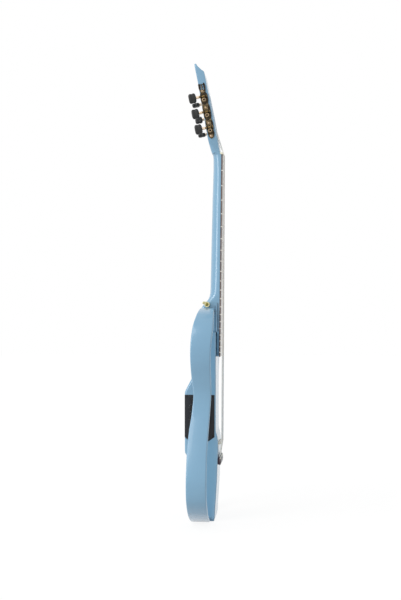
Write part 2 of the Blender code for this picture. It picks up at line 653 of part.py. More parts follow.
def build_button(string, side, row, head, paint):
    """Oval finger button with a blind bore for the worm's shaft."""
    sides = 10
    sections = ((0.0, 0.0044, 0.0034), (0.0016, 0.0092, 0.0045), (0.0048, 0.0116, 0.0050),
                (0.0086, 0.0111, 0.0048), (0.0122, 0.0116, 0.0050), (0.0150, 0.0094, 0.0043),
                (BUTTON_LENGTH, 0.0046, 0.0026))
    roll = math.radians(BUTTON_ROLL[string])
    wide = Vector((0.0, math.sin(roll), math.cos(roll)))
    thin = Vector((0.0, math.cos(roll), -math.sin(roll)))

    def oval(along, half_wide, half_thin):
        points = []
        for k in range(sides):
            angle = 2.0 * math.pi * k / sides
            points.append(Vector((-along, 0.0, 0.0)) + half_wide * math.cos(angle) * wide
                          + half_thin * math.sin(angle) * thin)
        return points

    rings = [oval(BUTTON_START + SHAFT_IN_BUTTON + GAP, BUTTON_BORE_RADIUS, BUTTON_BORE_RADIUS),
             oval(BUTTON_START, BUTTON_BORE_RADIUS, BUTTON_BORE_RADIUS)]
    rings += [oval(BUTTON_START + along, half_wide, half_thin) for along, half_wide, half_thin in sections]
    place = (ROLLER_X, side * WORM_Y, FIRST_ROLLER_Z + TUNER_PITCH * row + WORM_OFFSET)
    finish_mesh("tuner_button_%d" % string, loft(rings), paint["black_plastic"], head, place, smooth=True)


def build_tuners(head, paint):
    """Both plates, and a roller, worm and button for each string."""
    build_tuner_plate(-1, "tuner_plate_bass", head, paint)
    build_tuner_plate(1, "tuner_plate_treble", head, paint)
    for string in range(1, 7):
        side = -1 if string > 3 else 1
        row = string - 1 if string <= 3 else 6 - string
        build_roller(string, side, row, head, paint)
        build_worm(string, side, row, head, paint)
        build_button(string, side, row, head, paint)


def head_to_body(x, y, z):
    """A point of the headstock's frame, in the guitar's."""
    lean_x, lean_z = math.cos(HEAD_LEAN), math.sin(HEAD_LEAN)
    return (HEAD_FACE_X + x * lean_x - z * lean_z, y, NUT_Z + NUT_LENGTH + x * lean_z + z * lean_x)


def string_place(string, spread):
    """Sideways place of a string: 1 is the highest, on the treble side."""
    return spread * (0.5 - (string - 1) / 5.0)


def build_strings(guitar, paint):
    """Each string from the tie block over the saddle and nut to the front of its roller."""
    slot_y = {6: -0.0215, 5: -0.0185, 4: -0.0160, 3: 0.0160, 2: 0.0185, 1: 0.0215}
    for string in range(1, 7):
        radius = 0.5 * STRING_DIAMETERS[string]
        row = string - 1 if string <= 3 else 6 - string
        saddle_y = string_place(string, STRING_SPREAD_AT_SADDLE)
        touch = math.radians(14.0)
        reach = ROLLER_RADIUS + radius + GAP
        roller_z = FIRST_ROLLER_Z + TUNER_PITCH * row
        points = [
            (0.0066, saddle_y, TIE_BLOCK_Z + 0.5 * TIE_BLOCK_LENGTH + GAP),
            (STRING_X_AT_SADDLE, saddle_y, SADDLE_Z),
            (STRING_X_AT_NUT, string_place(string, STRING_SPREAD_AT_NUT), NUT_Z + 0.0014),
            head_to_body(ROLLER_X + reach * math.cos(touch), slot_y[string],
                         roller_z - reach * math.sin(touch)),
            head_to_body(ROLLER_X + reach, slot_y[string], roller_z),
        ]
        curve = bpy.data.curves.new("string_%d" % string, "CURVE")
        curve.dimensions = "3D"
        curve.bevel_depth = radius
        curve.bevel_resolution = 1
        curve.render_resolution_u = 0
        curve.use_fill_caps = True
        spline = curve.splines.new("POLY")
        spline.points.add(len(points) - 1)
        for target, point in zip(spline.points, points):
            target.co = (*point, 1.0)
        curve.materials.append(paint["silver_wire"] if string > 3 else paint["nylon"])
        wire = bpy.data.objects.new("string_%d" % string, curve)
        wire.parent = guitar
        bpy.context.scene.collection.objects.link(wire)


def body_ring(z):
    """A section of the centre body with softened corners."""
    front, back = front_x(z), back_x(z)
    half = table(((0.0, BODY_HALF_WIDTH - 0.0020), (0.0025, BODY_HALF_WIDTH)), z)
    soft, hard = min(0.0060, 0.35 * (front - back)), 0.0022
    return [
        (front, -half + hard, z), (front, half - hard, z), (front - hard, half, z), (back + soft, half, z),
        (back + 0.35 * soft, half - 0.35 * soft, z), (back, half - soft, z), (back, -half + soft, z),
        (back + 0.35 * soft, -half + 0.35 * soft, z), (back + soft, -half, z), (front - hard, -half, z),
    ]


def panel_outline(grow=0.0):
    """The control panel's outline, x and z, or the same grown for its recess."""
    slope = 0.0145
    return [
        (PANEL_BACK_X - grow, PANEL_TOP_Z + grow), (PANEL_FRONT_X + grow, PANEL_TOP_Z + grow),
        (PANEL_FRONT_X + grow, PANEL_CORNER_Z), (PANEL_FRONT_X - slope, PANEL_BOTTOM_Z - grow),
        (PANEL_BACK_X + slope, PANEL_BOTTOM_Z - grow), (PANEL_BACK_X - grow, PANEL_CORNER_Z - 0.5 * grow),
    ]


def build_body(guitar, paint):
    """Centre body with its panel recess, electronics cavity, battery bay, saddle slot and peg bores."""
    heights = (0.0, 0.0025, 0.009, 0.025, 0.048, 0.090, 0.115, 0.136, 0.140, 0.1455, 0.1525, 0.156, 0.178,
               0.190, 0.200, 0.2885, 0.310, 0.3335, 0.350, BODY_TOP_Z)
    body = finish_mesh("body_core", loft([body_ring(z) for z in heights]), paint["blue_paint"], guitar)

    recess = prism([(x - (0.004 if x < -0.06 else 0.0), z) for x, z in panel_outline(GAP)],
                   lambda x, z, end: (x, (OUTSIDE_Y, -BODY_HALF_WIDTH + PANEL_THICKNESS + GAP)[end], z))
    combine(body, cutter("panel_recess", recess, guitar), "DIFFERENCE")
    cavity = block((CAVITY_BACK_X, OUTSIDE_Y, CAVITY_BOTTOM_Z), (CAVITY_FRONT_X, CAVITY_FLOOR_Y, CAVITY_TOP_Z))
    combine(body, cutter("electronics_cavity", cavity, guitar), "DIFFERENCE")

    floor_x = HUMP_BACK_X + DOOR_THICKNESS + GAP
    door_recess = block((BEHIND_X, DOOR_LOW[0] - GAP, DOOR_LOW[1] - GAP),
                        (floor_x, DOOR_HIGH[0] + GAP, DOOR_HIGH[1] + GAP))
    combine(body, cutter("door_recess", door_recess, guitar), "DIFFERENCE")
    bay = block((BEHIND_X, DOOR_LOW[0] + DOOR_LEDGE, CELL_BOTTOM_Z - 3.0 * CELL_PLAY),
                (CELL_X + CELL_RADIUS + CELL_PLAY, DOOR_HIGH[0] - DOOR_LEDGE,
                 CELL_BOTTOM_Z + CELL_LENGTH + 3.5 * CELL_PLAY))
    combine(body, cutter("battery_bay", bay, guitar), "DIFFERENCE")

    half_slot = 0.5 * SADDLE_THICKNESS + GAP
    slot = block((SADDLE_SLOT_FLOOR_X, -0.5 * SADDLE_LENGTH - GAP, SADDLE_Z - half_slot),
                 (STRING_X_AT_SADDLE, 0.5 * SADDLE_LENGTH + GAP, SADDLE_Z + half_slot))
    combine(body, cutter("saddle_slot", slot, guitar), "DIFFERENCE")

    pegs = bmesh.new()
    for side in (-1, 1):
        x, z = LOWER_PEG_AT
        rod((x, side * (BODY_HALF_WIDTH - PEG_LENGTH - GAP), z), (x, side * (BODY_HALF_WIDTH + 0.013), z),
            LOWER_PEG_RADIUS + GAP, 10, pegs)
    combine(body, cutter("lower_peg_sockets", pegs, guitar), "DIFFERENCE")


def build_bridge(guitar, paint):
    """Saddle on its pickup strip, and the block that the strings are tied to."""
    half = 0.5 * SADDLE_LENGTH
    thin = 0.5 * SADDLE_THICKNESS
    strip_top = SADDLE_SLOT_FLOOR_X + GAP + PICKUP_THICKNESS
    strip = block((SADDLE_SLOT_FLOOR_X + GAP, -half, SADDLE_Z - thin), (strip_top, half, SADDLE_Z + thin))
    finish_mesh("piezo_pickup", strip, paint["pickup_film"], guitar)
    top = STRING_X_AT_SADDLE - SADDLE_CREST
    flat = thin / 3.0
    section = [(strip_top + GAP, SADDLE_Z - thin), (top - 2.0 * flat, SADDLE_Z - thin), (top, SADDLE_Z - flat),
               (top, SADDLE_Z + flat), (top - 2.0 * flat, SADDLE_Z + thin), (strip_top + GAP, SADDLE_Z + thin)]
    saddle = prism(section, lambda x, z, end: (x, half * (2 * end - 1), z))
    finish_mesh("saddle", saddle, paint["bone"], guitar)

    half = 0.5 * TIE_BLOCK_WIDTH
    low, high = TIE_BLOCK_Z - 0.5 * TIE_BLOCK_LENGTH, TIE_BLOCK_Z + 0.5 * TIE_BLOCK_LENGTH
    under_low, under_high = front_x(low) + GAP, front_x(high) + GAP
    edge = 0.0015
    section = [(under_low, low), (TIE_BLOCK_TOP_X - edge, low), (TIE_BLOCK_TOP_X, low + edge),
               (TIE_BLOCK_TOP_X, high - edge), (TIE_BLOCK_TOP_X - edge, high), (under_high, high)]
    tie = prism(section, lambda x, z, end: (x, half * (2 * end - 1), z))
    finish_mesh("tie_block", tie, paint["rosewood"], guitar)


def build_frame(side, name, guitar, paint):
    """One bent band: a chamfered section carried along the outline, with a peg at each end."""
    stations = smooth_path(FRAME_PATH, FRAME_STEPS)
    rings = []
    for k, (y, z, back, front) in enumerate(stations):
        before = stations[max(k - 1, 0)]
        after = stations[min(k + 1, len(stations) - 1)]
        along = Vector((0.0, after[0] - before[0], after[1] - before[1])).normalized()
        if k == 0:
            along = Vector((0.0, 1.0, 0.0))
        if k == len(stations) - 1:
            along = Vector((0.0, -1.0, 0.0))
        inward = Vector((0.0, along.z, -along.y))
        outer = Vector((0.0, y, z))
        inner = outer + FRAME_THICKNESS * inward
        cut = FRAME_CHAMFER
        outer_edge, inner_edge = outer + cut * inward, inner - cut * inward
        section = [
            (back, outer_edge), (back + cut, outer), (front - cut, outer), (front, outer_edge),
            (front, inner_edge), (front - cut, inner), (back + cut, inner), (back, inner_edge),
        ]
        rings.append([(x, side * point.y, point.z) for x, point in section])
    band = finish_mesh(name, loft(rings), paint["blue_paint"], guitar)
    pegs = bmesh.new()
    for wall, (x, z), radius in ((HEEL_HALF_WIDTH, UPPER_PEG_AT, UPPER_PEG_RADIUS),
                                 (BODY_HALF_WIDTH, LOWER_PEG_AT, LOWER_PEG_RADIUS)):
        rod((x, side * (wall - PEG_LENGTH), z), (x, side * (wall + 0.005), z), radius, 10, pegs)
    combine(band, cutter(name + "_pegs", pegs, guitar), "UNION")


def build_thumb_screws(guitar, paint):
    """Two knurled screws in the heel that lock the frames' upper pegs."""
    shank, head = THUMB_SCREW_RADIUS, THUMB_SCREW_HEAD_RADIUS
    height = 0.0062
    profile = ((-THUMB_SCREW_SHANK, shank), (GAP, shank), (GAP, 0.90 * head), (0.0012, head),
               (height - 0.0010, head), (height, 0.85 * head))
    x, y, z = THUMB_SCREW_FOOT
    for side, name in ((-1, "frame_screw_bass"), (1, "frame_screw_treble")):
        screw = turned(profile, THUMB_SCREW_AXIS, (0, 1, 0), 12)
        finish_mesh(name, screw, paint["brass"], guitar, (x, side * y, z), smooth=True)


def build_strap_buttons(guitar, paint):
    """One on the bass side of the heel, one on the back near the tail."""
    x, z = HEEL_STRAP_AT
    button = turned(STRAP_BUTTON_PROFILE, (0, -1, 0), (1, 0, 0), 16)
    finish_mesh("heel_strap_button", button, paint["brass"], guitar, (x, -HEEL_HALF_WIDTH - GAP, z),
                smooth=True)
    button = turned(STRAP_BUTTON_PROFILE, (-1, 0, 0), (0, 1, 0), 16)
    finish_mesh("tail_strap_button", button, paint["brass"], guitar,
                (back_x(TAIL_STRAP_Z) - 2 * GAP, 0.0, TAIL_STRAP_Z), smooth=True)


def build_panel(guitar, paint):
    """Black side panel with a hole for each control and jack."""
    outer_y = -BODY_HALF_WIDTH
    faces = (outer_y, outer_y + PANEL_THICKNESS)
    panel = finish_mesh("control_panel", prism(panel_outline(), lambda x, z, end: (x, faces[end], z)),
                        paint["panel_plastic"], guitar)
    holes = bmesh.new()
    behind = faces[1] + 0.004
    for x, z in KNOBS.values():
        rod((x, OUTSIDE_Y, z), (x, behind, z), KNOB_SHAFT_RADIUS + BORE_CLEARANCE, 10, holes)
    x, z = POWER_BUTTON_AT
    rod((x, OUTSIDE_Y, z), (x, behind, z), POWER_HOLE_RADIUS, 12, holes)
    x, z = EFFECT_SWITCH_AT
    wide, high = SWITCH_SLOT_HALF
    block((x - wide, OUTSIDE_Y, z - high), (x + wide, behind, z + high), holes)
    for x, z, _, rim in JACKS.values():
        rod((x, OUTSIDE_Y, z), (x, behind, z), rim - RIM_OVERLAP, 12, holes)
    combine(panel, cutter("panel_holes", holes, guitar), "DIFFERENCE")


def build_controls(guitar, paint):
    """Knobs with their shafts, the power button and the effect switch, each with its origin on its axis."""
    face = -BODY_HALF_WIDTH
    for name, (x, z) in KNOBS.items():
        profile = ((-KNOB_SHAFT_LENGTH, KNOB_SHAFT_RADIUS), (0.0005, KNOB_SHAFT_RADIUS),
                   (0.0005, KNOB_RADIUS), (KNOB_HEIGHT - 0.0030, 0.93 * KNOB_RADIUS),
                   (KNOB_HEIGHT - 0.0010, 0.88 * KNOB_RADIUS), (KNOB_HEIGHT, 0.75 * KNOB_RADIUS))
        knob = turned(profile, (0, -1, 0), (0, 0, 1), 14)
        finish_mesh(name, knob, paint["black_plastic"], guitar, (x, face, z), smooth=True)
    x, z = POWER_BUTTON_AT
    stem = 0.5 * POWER_RADIUS
    push = turned(((-0.0120, stem), (-0.0045, stem), (-0.0045, POWER_RADIUS), (0.0022, POWER_RADIUS),
                   (0.0028, 0.83 * POWER_RADIUS)), (0, -1, 0), (0, 0, 1), 12)
    finish_mesh("power_button", push, paint["black_plastic"], guitar, (x, face, z), smooth=True)
    x, z = EFFECT_SWITCH_AT
    behind = PANEL_THICKNESS + 2 * GAP
    slider = block((-0.0060, behind, -0.0035), (0.0030, behind + 0.0036, 0.0035))
    lever = finish_mesh("effect_switch", slider, paint["black_plastic"], guitar, (x + 0.0015, face, z))
    tip = cutter("effect_switch_lever", block((-0.0040, -0.0026, -0.0016), (0.0010, 0.0040, 0.0016)), guitar)
    tip.location = lever.location
    combine(lever, tip, "UNION")


def build_jacks(guitar, paint):
    """Threaded sockets that show as a rim and a hole in the panel."""
    face = -BODY_HALF_WIDTH
    for name, (x, z, bore, rim) in JACKS.items():
        length = 0.0200 if rim > 0.005 else 0.0130
        neck = rim - RIM_OVERLAP - GAP
        barrel = rim + 0.0004
        profile = ((length - 0.0030, bore), (-0.0012, bore), (-0.0012, rim - 0.0004), (-GAP, rim), (-GAP, neck),
                   (PANEL_THICKNESS + GAP, neck), (PANEL_THICKNESS + GAP, barrel), (length, barrel))
        jack = turned(profile, (0, 1, 0), (0, 0, 1), 12)
        finish_mesh(name, jack, paint["steel"], guitar, (x, face, z))


def build_electronics(guitar, paint):
    """Circuit board with the four pot cans, the two cells and their contact strip, and the battery door."""
    board_y = CAVITY_FLOOR_Y - 0.0040
    thickness, edge = 0.0016, 0.0020
    low = (CAVITY_BACK_X + edge, board_y - thickness, CAVITY_BOTTOM_Z + 0.0025)
    high = (CAVITY_FRONT_X - edge, board_y, CAVITY_TOP_Z - 0.0025)
    board = finish_mesh("circuit_board", block(low, high), paint["board_green"], guitar)
    cans = bmesh.new()
    shaft_end = -BODY_HALF_WIDTH + KNOB_SHAFT_LENGTH
    half_can = 0.0065
    for x, z in KNOBS.values():
        block((x - half_can, shaft_end + BORE_CLEARANCE, z - half_can),
              (x + half_can, board_y - 0.0006, z + half_can), cans)
    combine(board, cutter("pot_cans", cans, guitar), "UNION")
    for number, y in enumerate(CELLS_Y, 1):
        tip = 0.0012
        profile = ((0.0, 0.92 * CELL_RADIUS), (0.0008, CELL_RADIUS), (CELL_LENGTH - tip - 0.0008, CELL_RADIUS),
                   (CELL_LENGTH - tip, 0.92 * CELL_RADIUS), (CELL_LENGTH - tip, 0.0027), (CELL_LENGTH, 0.0025))
        cell = turned(profile, (0, 0, 1), (1, 0, 0), 12)
        finish_mesh("battery_cell_%d" % number, cell, paint["cell_jacket"], guitar, (CELL_X, y, CELL_BOTTOM_Z))
    strip_z = CELL_BOTTOM_Z + CELL_LENGTH + 0.0006
    strip = block((CELL_X - 0.0055, CELLS_Y[0] - 0.0050, strip_z), (CELL_X + 0.0055, CELLS_Y[1] + 0.0050,
                                                                 strip_z + 0.0010))
    finish_mesh("battery_contacts", strip, paint["steel"], guitar)
    door = block((HUMP_BACK_X, DOOR_LOW[0], DOOR_LOW[1]), (HUMP_BACK_X + DOOR_THICKNESS, *DOOR_HIGH))
    finish_mesh("battery_door", door, paint["panel_plastic"], guitar)


def main():
    """Build the whole guitar."""
    clear_scene()
    paint = finishes()
    guitar = empty("guitar", location=(FRONT_X, 0.0, 0.0))
    head = empty("head", guitar, head_to_body(0.0, 0.0, 0.0), (0.0, -HEAD_LEAN, 0.0))
    build_neck(guitar, paint)
    build_fingerboard(guitar, paint)
    build_headstock(head, paint)
    build_tuners(head, paint)
    build_strings(guitar, paint)
    build_body(guitar, paint)
    build_bridge(guitar, paint)
    build_frame(-1, "frame_bass", guitar, paint)
    build_frame(1, "frame_treble", guitar, paint)
    build_thumb_screws(guitar, paint)
    build_strap_buttons(guitar, paint)
    build_panel(guitar, paint)
    build_controls(guitar, paint)
    build_jacks(guitar, paint)
    build_electronics(guitar, paint)


main()
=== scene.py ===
"""The looks of a silent guitar: painted wood, fretted board, bridge, tuners, side frames and controls.

Metres, +Z up along the neck, +X out of the front, +Y to the treble side. Heights are counted from the
guitar's lowest edge, sideways places from its middle, and at() counts x from the centre body's flat front.
"""

import math

import bmesh
import bpy
from mathutils import Matrix, Vector
from mathutils.kdtree import KDTree


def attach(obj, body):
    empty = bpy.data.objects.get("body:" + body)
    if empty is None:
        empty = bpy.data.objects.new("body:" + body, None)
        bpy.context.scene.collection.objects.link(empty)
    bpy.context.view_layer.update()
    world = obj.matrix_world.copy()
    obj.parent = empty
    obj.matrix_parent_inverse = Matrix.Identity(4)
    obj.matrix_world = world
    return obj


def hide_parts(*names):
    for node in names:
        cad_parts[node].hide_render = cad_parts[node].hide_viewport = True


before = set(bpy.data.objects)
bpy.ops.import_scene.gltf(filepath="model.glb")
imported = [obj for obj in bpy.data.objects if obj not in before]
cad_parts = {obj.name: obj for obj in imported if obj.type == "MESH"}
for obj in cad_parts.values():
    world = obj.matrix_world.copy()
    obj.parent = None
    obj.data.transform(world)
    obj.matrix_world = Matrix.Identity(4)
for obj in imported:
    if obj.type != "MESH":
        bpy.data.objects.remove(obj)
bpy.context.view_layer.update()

FRONT_X = 0.0270
GAP = 0.0003
TURN = 2.0 * math.pi
TO_BASS_SIDE = (0.0, -1.0, 0.0)
TO_TREBLE_SIDE = (0.0, 1.0, 0.0)
MIRROR = Matrix.Scale(-1.0, 4, TO_TREBLE_SIDE)

# Strings and fingerboard. A fret's end: how far in, and the share of the crown's height there.
SCALE_LENGTH = 0.650
NUT_Z = 0.8221
SADDLE_Z = NUT_Z - SCALE_LENGTH
FRETS = 20
BOARD_END_Z = 0.3665
NUT_WIDTH = 0.0520
TWELFTH_FRET_WIDTH = 0.0620
BOARD_THICKNESS = 0.0040
PAINT_RISE = 0.0007
FRET_WIDTH = 0.0020
FRET_HEIGHT = 0.0009
FRET_TANG = 0.0022
FRET_END = ((0.0, 0.45), (0.0003, 0.8), (0.0009, 1.0))
GLUE_X_AT_NUT = 0.0100
GLUE_X_AT_END = 0.0051
NUT_LENGTH = 0.0055
NUT_TOP_X = 0.0147
STRING_X_AT_NUT = 0.0156
STRING_X_AT_SADDLE = 0.0116
STRING_SPREAD_AT_NUT = 0.0430
STRING_SPREAD_AT_SADDLE = 0.0580
STRING_DIAMETERS = {6: 0.0011, 5: 0.0009, 4: 0.00075, 3: 0.0010, 2: 0.0008, 1: 0.0007}
STRING_IN_SLOT_Y = {6: -0.0215, 5: -0.0185, 4: -0.0160, 3: 0.0160, 2: 0.0185, 1: 0.0215}
WRAPS = 4
WRAP_STEPS = 12
TOUCH_ANGLE = math.radians(14.0)

# Headstock, in its own frame: x out of its face, z along it from the nut. The tables give z first.
HEAD_LEAN = math.radians(11.3)
HEAD_FACE_X = 0.0075
HEAD_LENGTH = 0.2045
HEAD_HALF_WIDTH = 0.0370
HEAD_THICK_AT_NUT = 0.0210
HEAD_THICK_AT_TIP = 0.0165
THROAT_LENGTH = 0.0340
THROAT_HOLLOW = 0.0026
HEAD_SWELL = 0.0011
HEAD_SWELL_REACH = 0.080
TIP_SWELL = 0.0009
TIP_SWELL_FROM = 0.165
TIP_SWELL_REACH = 0.030
HEAD_WIDTHS = (
    (0.0, 0.0266), (0.006, 0.0277), (0.014, 0.0306), (0.022, 0.0337), (0.029, 0.0361),
    (0.037, HEAD_HALF_WIDTH), (0.190, HEAD_HALF_WIDTH), (0.199, 0.0355), (HEAD_LENGTH, 0.0325),
)
HEAD_FRONT_CORNER = 0.0014
HEAD_BACK_CORNER = 0.0018
THROAT_CORNER = 0.0160
THROAT_CORNER_REACH = 0.032
SCOOP_START_Z = 0.1820
SCOOP = (
    (0.0, 0.0), (SCOOP_START_Z, 0.0), (0.1850, -0.0018), (0.1873, -0.0049), (0.1926, -0.0084),
    (0.1979, -0.0119), (HEAD_LENGTH, -0.0144),
)
SLOT_INNER_Y = 0.0085
SLOT_OUTER_Y = 0.0260
SLOT_BOTTOM_Z = 0.0190
SLOT_TOP_Z = 0.1370
SLOT_LIP = 0.0009

# Tuners. Profiles give the distance along the axis and the radius, the button two half widths, and a tooth
# its share of the pitch and the radius. A worm's distances are counted from its middle.
TUNER_PITCH = 0.0353
FIRST_ROLLER_Z = 0.0486
ROLLER_X = -0.0110
ROLLER_RADIUS = 0.0048
ROLLER_INNER_Y = 0.0045
STRING_HOLE_Y = -0.0172
STRING_HOLE_RADIUS = 0.0011
PLATE_INNER_Y = HEAD_HALF_WIDTH + GAP
PLATE_THICKNESS = 0.0012
PLATE_OUTER_Y = PLATE_INNER_Y + PLATE_THICKNESS
PLATE_BOTTOM_Z = 0.0310
PLATE_LENGTH = 0.1265
GEAR_TEETH = 14
GEAR_TIP_RADIUS = 0.0055
GEAR_ROOT_RADIUS = 0.00455
GEAR_WIDTH = 0.0018
GEAR_PITCH_RADIUS = 0.0053
GEAR_EDGE = 0.0003
TOOTH = (
    (-0.34, GEAR_ROOT_RADIUS), (-0.22, 0.5 * (GEAR_ROOT_RADIUS + GEAR_TIP_RADIUS)), (-0.10, GEAR_TIP_RADIUS),
    (0.10, GEAR_TIP_RADIUS), (0.22, 0.5 * (GEAR_ROOT_RADIUS + GEAR_TIP_RADIUS)), (0.34, GEAR_ROOT_RADIUS),
)
HUB_RADIUS = 0.0030
HUB_PROFILE = (
    (-0.0017, 0.0), (-0.0017, HUB_RADIUS), (0.0005, HUB_RADIUS + 0.0005), (0.0008, HUB_RADIUS + 0.0001),
    (0.0008, 0.0024), (0.0004, 0.0021), (-0.0012, 0.0020), (-0.0012, 0.0),
)
WORM_LEAD = TURN * GEAR_PITCH_RADIUS / GEAR_TEETH
WORM_OFFSET = 0.0078
WORM_MEAN_RADIUS = 0.0025
WORM_THREAD_DEPTH = 0.0009
WORM_TURNS = 3
WORM_SHAFT_RADIUS = 0.0016
WORM_SIDES = 24
WORM_Y = PLATE_OUTER_Y + GAP + WORM_MEAN_RADIUS + 0.5 * WORM_THREAD_DEPTH
LUG_NEAR = 0.0046
LUG_THICKNESS = 0.0022
LUG_RADIUS = 0.0034
LUG_FOOT_HALF = 0.0036
LUG_EDGE = 0.0003
BUTTON_START = 0.0169
BUTTON_LENGTH = 0.0165
SHAFT_IN_BUTTON = 0.0100
BUTTON_SQUARENESS = 0.75
BUTTON_SECTIONS = (
    (0.0, 0.0062, 0.0034), (0.0012, 0.0094, 0.0045), (0.0040, 0.0112, 0.0050), (0.0084, 0.0105, 0.0048),
    (0.0126, 0.0112, 0.0050), (0.0153, 0.0096, 0.0043), (BUTTON_LENGTH, 0.0064, 0.0026),
)
BUTTON_ROLL = {6: 0.0, 5: 6.0, 4: -4.0, 3: 88.0, 2: 48.0, 1: 84.0}
SHAFT_BEFORE_THREAD = (
    (-0.0084, 0.0019), (-0.0082, 0.0023), (-0.0072, 0.0027), (-0.0071, WORM_SHAFT_RADIUS),
)
SHAFT_AFTER_THREAD = (
    (0.0071, WORM_SHAFT_RADIUS), (0.0072, 0.0027), (0.0088, 0.0027), (0.0094, 0.0018),
    (BUTTON_START - GAP, 0.0018), (BUTTON_START - GAP, WORM_SHAFT_RADIUS),
    (BUTTON_START + SHAFT_IN_BUTTON, WORM_SHAFT_RADIUS),
)
FERRULE_START = 0.0098
FERRULE_PROFILE = (
    (FERRULE_START, 0.0024), (0.0104, 0.0031), (0.0122, 0.0033), (0.0129, 0.0029), (0.0134, 0.0029),
    (0.0141, 0.0033), (0.0157, 0.0031), (BUTTON_START - GAP, 0.0025),
)

# Tuner plates: half the edge from the foot up to a horn and back down inside it, x and height from the foot
LYRE_HALF = (
    (0.0, 0.0), (0.0035, 0.0012), (0.0068, 0.0055), (0.0082, 0.0120), (0.0072, 0.0170), (0.0088, 0.0240),
    (0.0092, 0.0370), (0.0074, 0.0440), (0.0092, 0.0520), (0.0092, 0.0720), (0.0074, 0.0790),
    (0.0092, 0.0870), (0.0090, 0.1000), (0.0064, 0.1050), (0.0076, 0.1110), (0.0086, 0.1170),
    (0.0080, 0.1225), (0.0066, PLATE_LENGTH), (0.0046, 0.1240), (0.0056, 0.1170), (0.0042, 0.1100),
)
LYRE_CROTCH_Z = 0.1060
LYRE_BACK_SHARE = 0.84
CROWN_RING_Z = 0.1082
CROSSBAR = ((-0.0062, 0.1236), (-0.0030, 0.1226), (0.0, 0.1240), (0.0030, 0.1226), (0.0066, 0.1236))
BEAD_CIRCLE = 0.0070
BEAD_PROFILE = ((-0.0002, 0.0), (-0.0002, 0.0005), (0.0, 0.0005), (0.0003, 0.0004), (0.0005, 0.0))

# Neck and centre body. The tables give a height, then a place in x, a squareness or the ledge's share;
# a heel groove has its back, front, depth and top, and the cavity its back, foot, front and top.
BODY_HALF_WIDTH = 0.0470
BODY_TOP_Z = 0.4222
HUMP_BACK_X = -0.0700
HEEL_HALF_WIDTH = 0.0300
LEDGE_DEPTH = 0.0014
LEDGE_X = 0.0022
LEDGE_EDGE = 0.0002
HEEL_LEDGE = ((0.4800, 1.0), (0.4900, 0.0))
HEEL_GROOVES = ((-0.0033, -0.0018, 0.0030, 0.4815), (LEDGE_X, LEDGE_X + 0.0020, 0.0045, 0.4870))
HEEL_TAPER_Z = 0.497
HEEL_TAPER = 0.15
NECK_TOP_Z = 0.8200
NECK_STEPS = 110
NECK_BACK = (
    (BODY_TOP_Z, -0.0420), (0.4450, -0.0420), (0.4620, -0.0405), (0.4720, -0.0372), (0.4805, -0.0320),
    (0.4896, -0.0247), (0.4940, -0.0205), (0.5000, -0.0180), (0.5075, -0.0162), (0.5200, -0.0154),
    (0.6060, -0.0136), (0.7125, -0.0111), (0.7855, -0.0088), (0.8130, -0.0086), (NECK_TOP_Z, -0.0094),
)
HEEL_SQUARENESS = 9.0
NECK_SQUARENESS = (
    (BODY_TOP_Z, HEEL_SQUARENESS), (0.4805, HEEL_SQUARENESS), (0.4896, 6.5), (0.4940, 4.5), (0.5000, 3.0),
    (0.5075, 2.4), (0.5200, 2.2), (0.6060, 2.1), (0.7855, 2.1), (NECK_TOP_Z, 2.5),
)
TONGUE_INSET = 0.0018
TONGUE_END_RADIUS = 0.018
TONGUE_END_TAPER = 0.014
BODY_FRONT = (
    (0.0, -0.0055), (0.0025, -0.0032), (0.009, -0.0022), (0.025, -0.0018), (0.048, 0.0), (0.090, 0.0025),
    (0.115, 0.0034), (0.148, 0.0043), (0.156, 0.0050), (0.178, 0.0050), (0.190, 0.0030), (0.200, 0.0),
)
BODY_BACK = (
    (0.0, -0.0460), (0.0025, -0.0485), (0.009, -0.0500), (0.136, -0.0500), (0.140, -0.0580),
    (0.1455, -0.0660), (0.1525, HUMP_BACK_X), (0.2885, HUMP_BACK_X), (0.310, -0.0590), (0.3335, -0.0465),
    (0.350, -0.0450), (BODY_TOP_Z, -0.0420),
)
BODY_FOOT_ROUND = 0.0030
BODY_TOP_ROUND = 0.0012
BODY_STEPS = 120
CAVITY = ((-0.0640, 0.1855), (-0.0080, 0.2775))
SADDLE_LENGTH = 0.0734
SADDLE_THICKNESS = 0.0024
SADDLE_SLOT_FLOOR_X = 0.0010
TIE_BLOCK_Z = 0.1335
TIE_BLOCK_LENGTH = 0.0150
TIE_BLOCK_WIDTH = 0.0800
TIE_BLOCK_TOP_X = 0.0092

# Controls. Places are x and z; a jack then has the radii of its bore and its rim, and a knob's sections
# have the share of the ribs' depth.
PANEL_TOP_Z = 0.2820
PANEL_BOTTOM_Z = 0.1780
PANEL_CORNER_Z = 0.1880
PANEL_BACK_X = -0.0697
PANEL_FRONT_X = -0.0030
PANEL_THICKNESS = 0.0030
PANEL_SLOPE = 0.0145
PANEL_SCREWS = ((-0.0650, 0.2780), (-0.0075, 0.2780), (-0.0075, 0.1905), (-0.0650, 0.1905))
KNOB_RADIUS = 0.0072
KNOB_HEIGHT = 0.0110
KNOB_HOLE_RADIUS = 0.0034
KNOB_SHAFT_RADIUS = 0.0030
KNOB_SECTIONS = (
    (0.0005, 0.98 * KNOB_RADIUS, 0.0), (0.0012, KNOB_RADIUS, 0.2), (0.0024, KNOB_RADIUS, 1.0),
    (KNOB_HEIGHT - 0.0024, 0.93 * KNOB_RADIUS, 1.0), (KNOB_HEIGHT - 0.0010, 0.89 * KNOB_RADIUS, 0.3),
    (KNOB_HEIGHT - 0.0002, 0.80 * KNOB_RADIUS, 0.0), (KNOB_HEIGHT - 0.0002, 0.66 * KNOB_RADIUS, 0.0),
    (KNOB_HEIGHT - 0.0010, 0.60 * KNOB_RADIUS, 0.0),
)
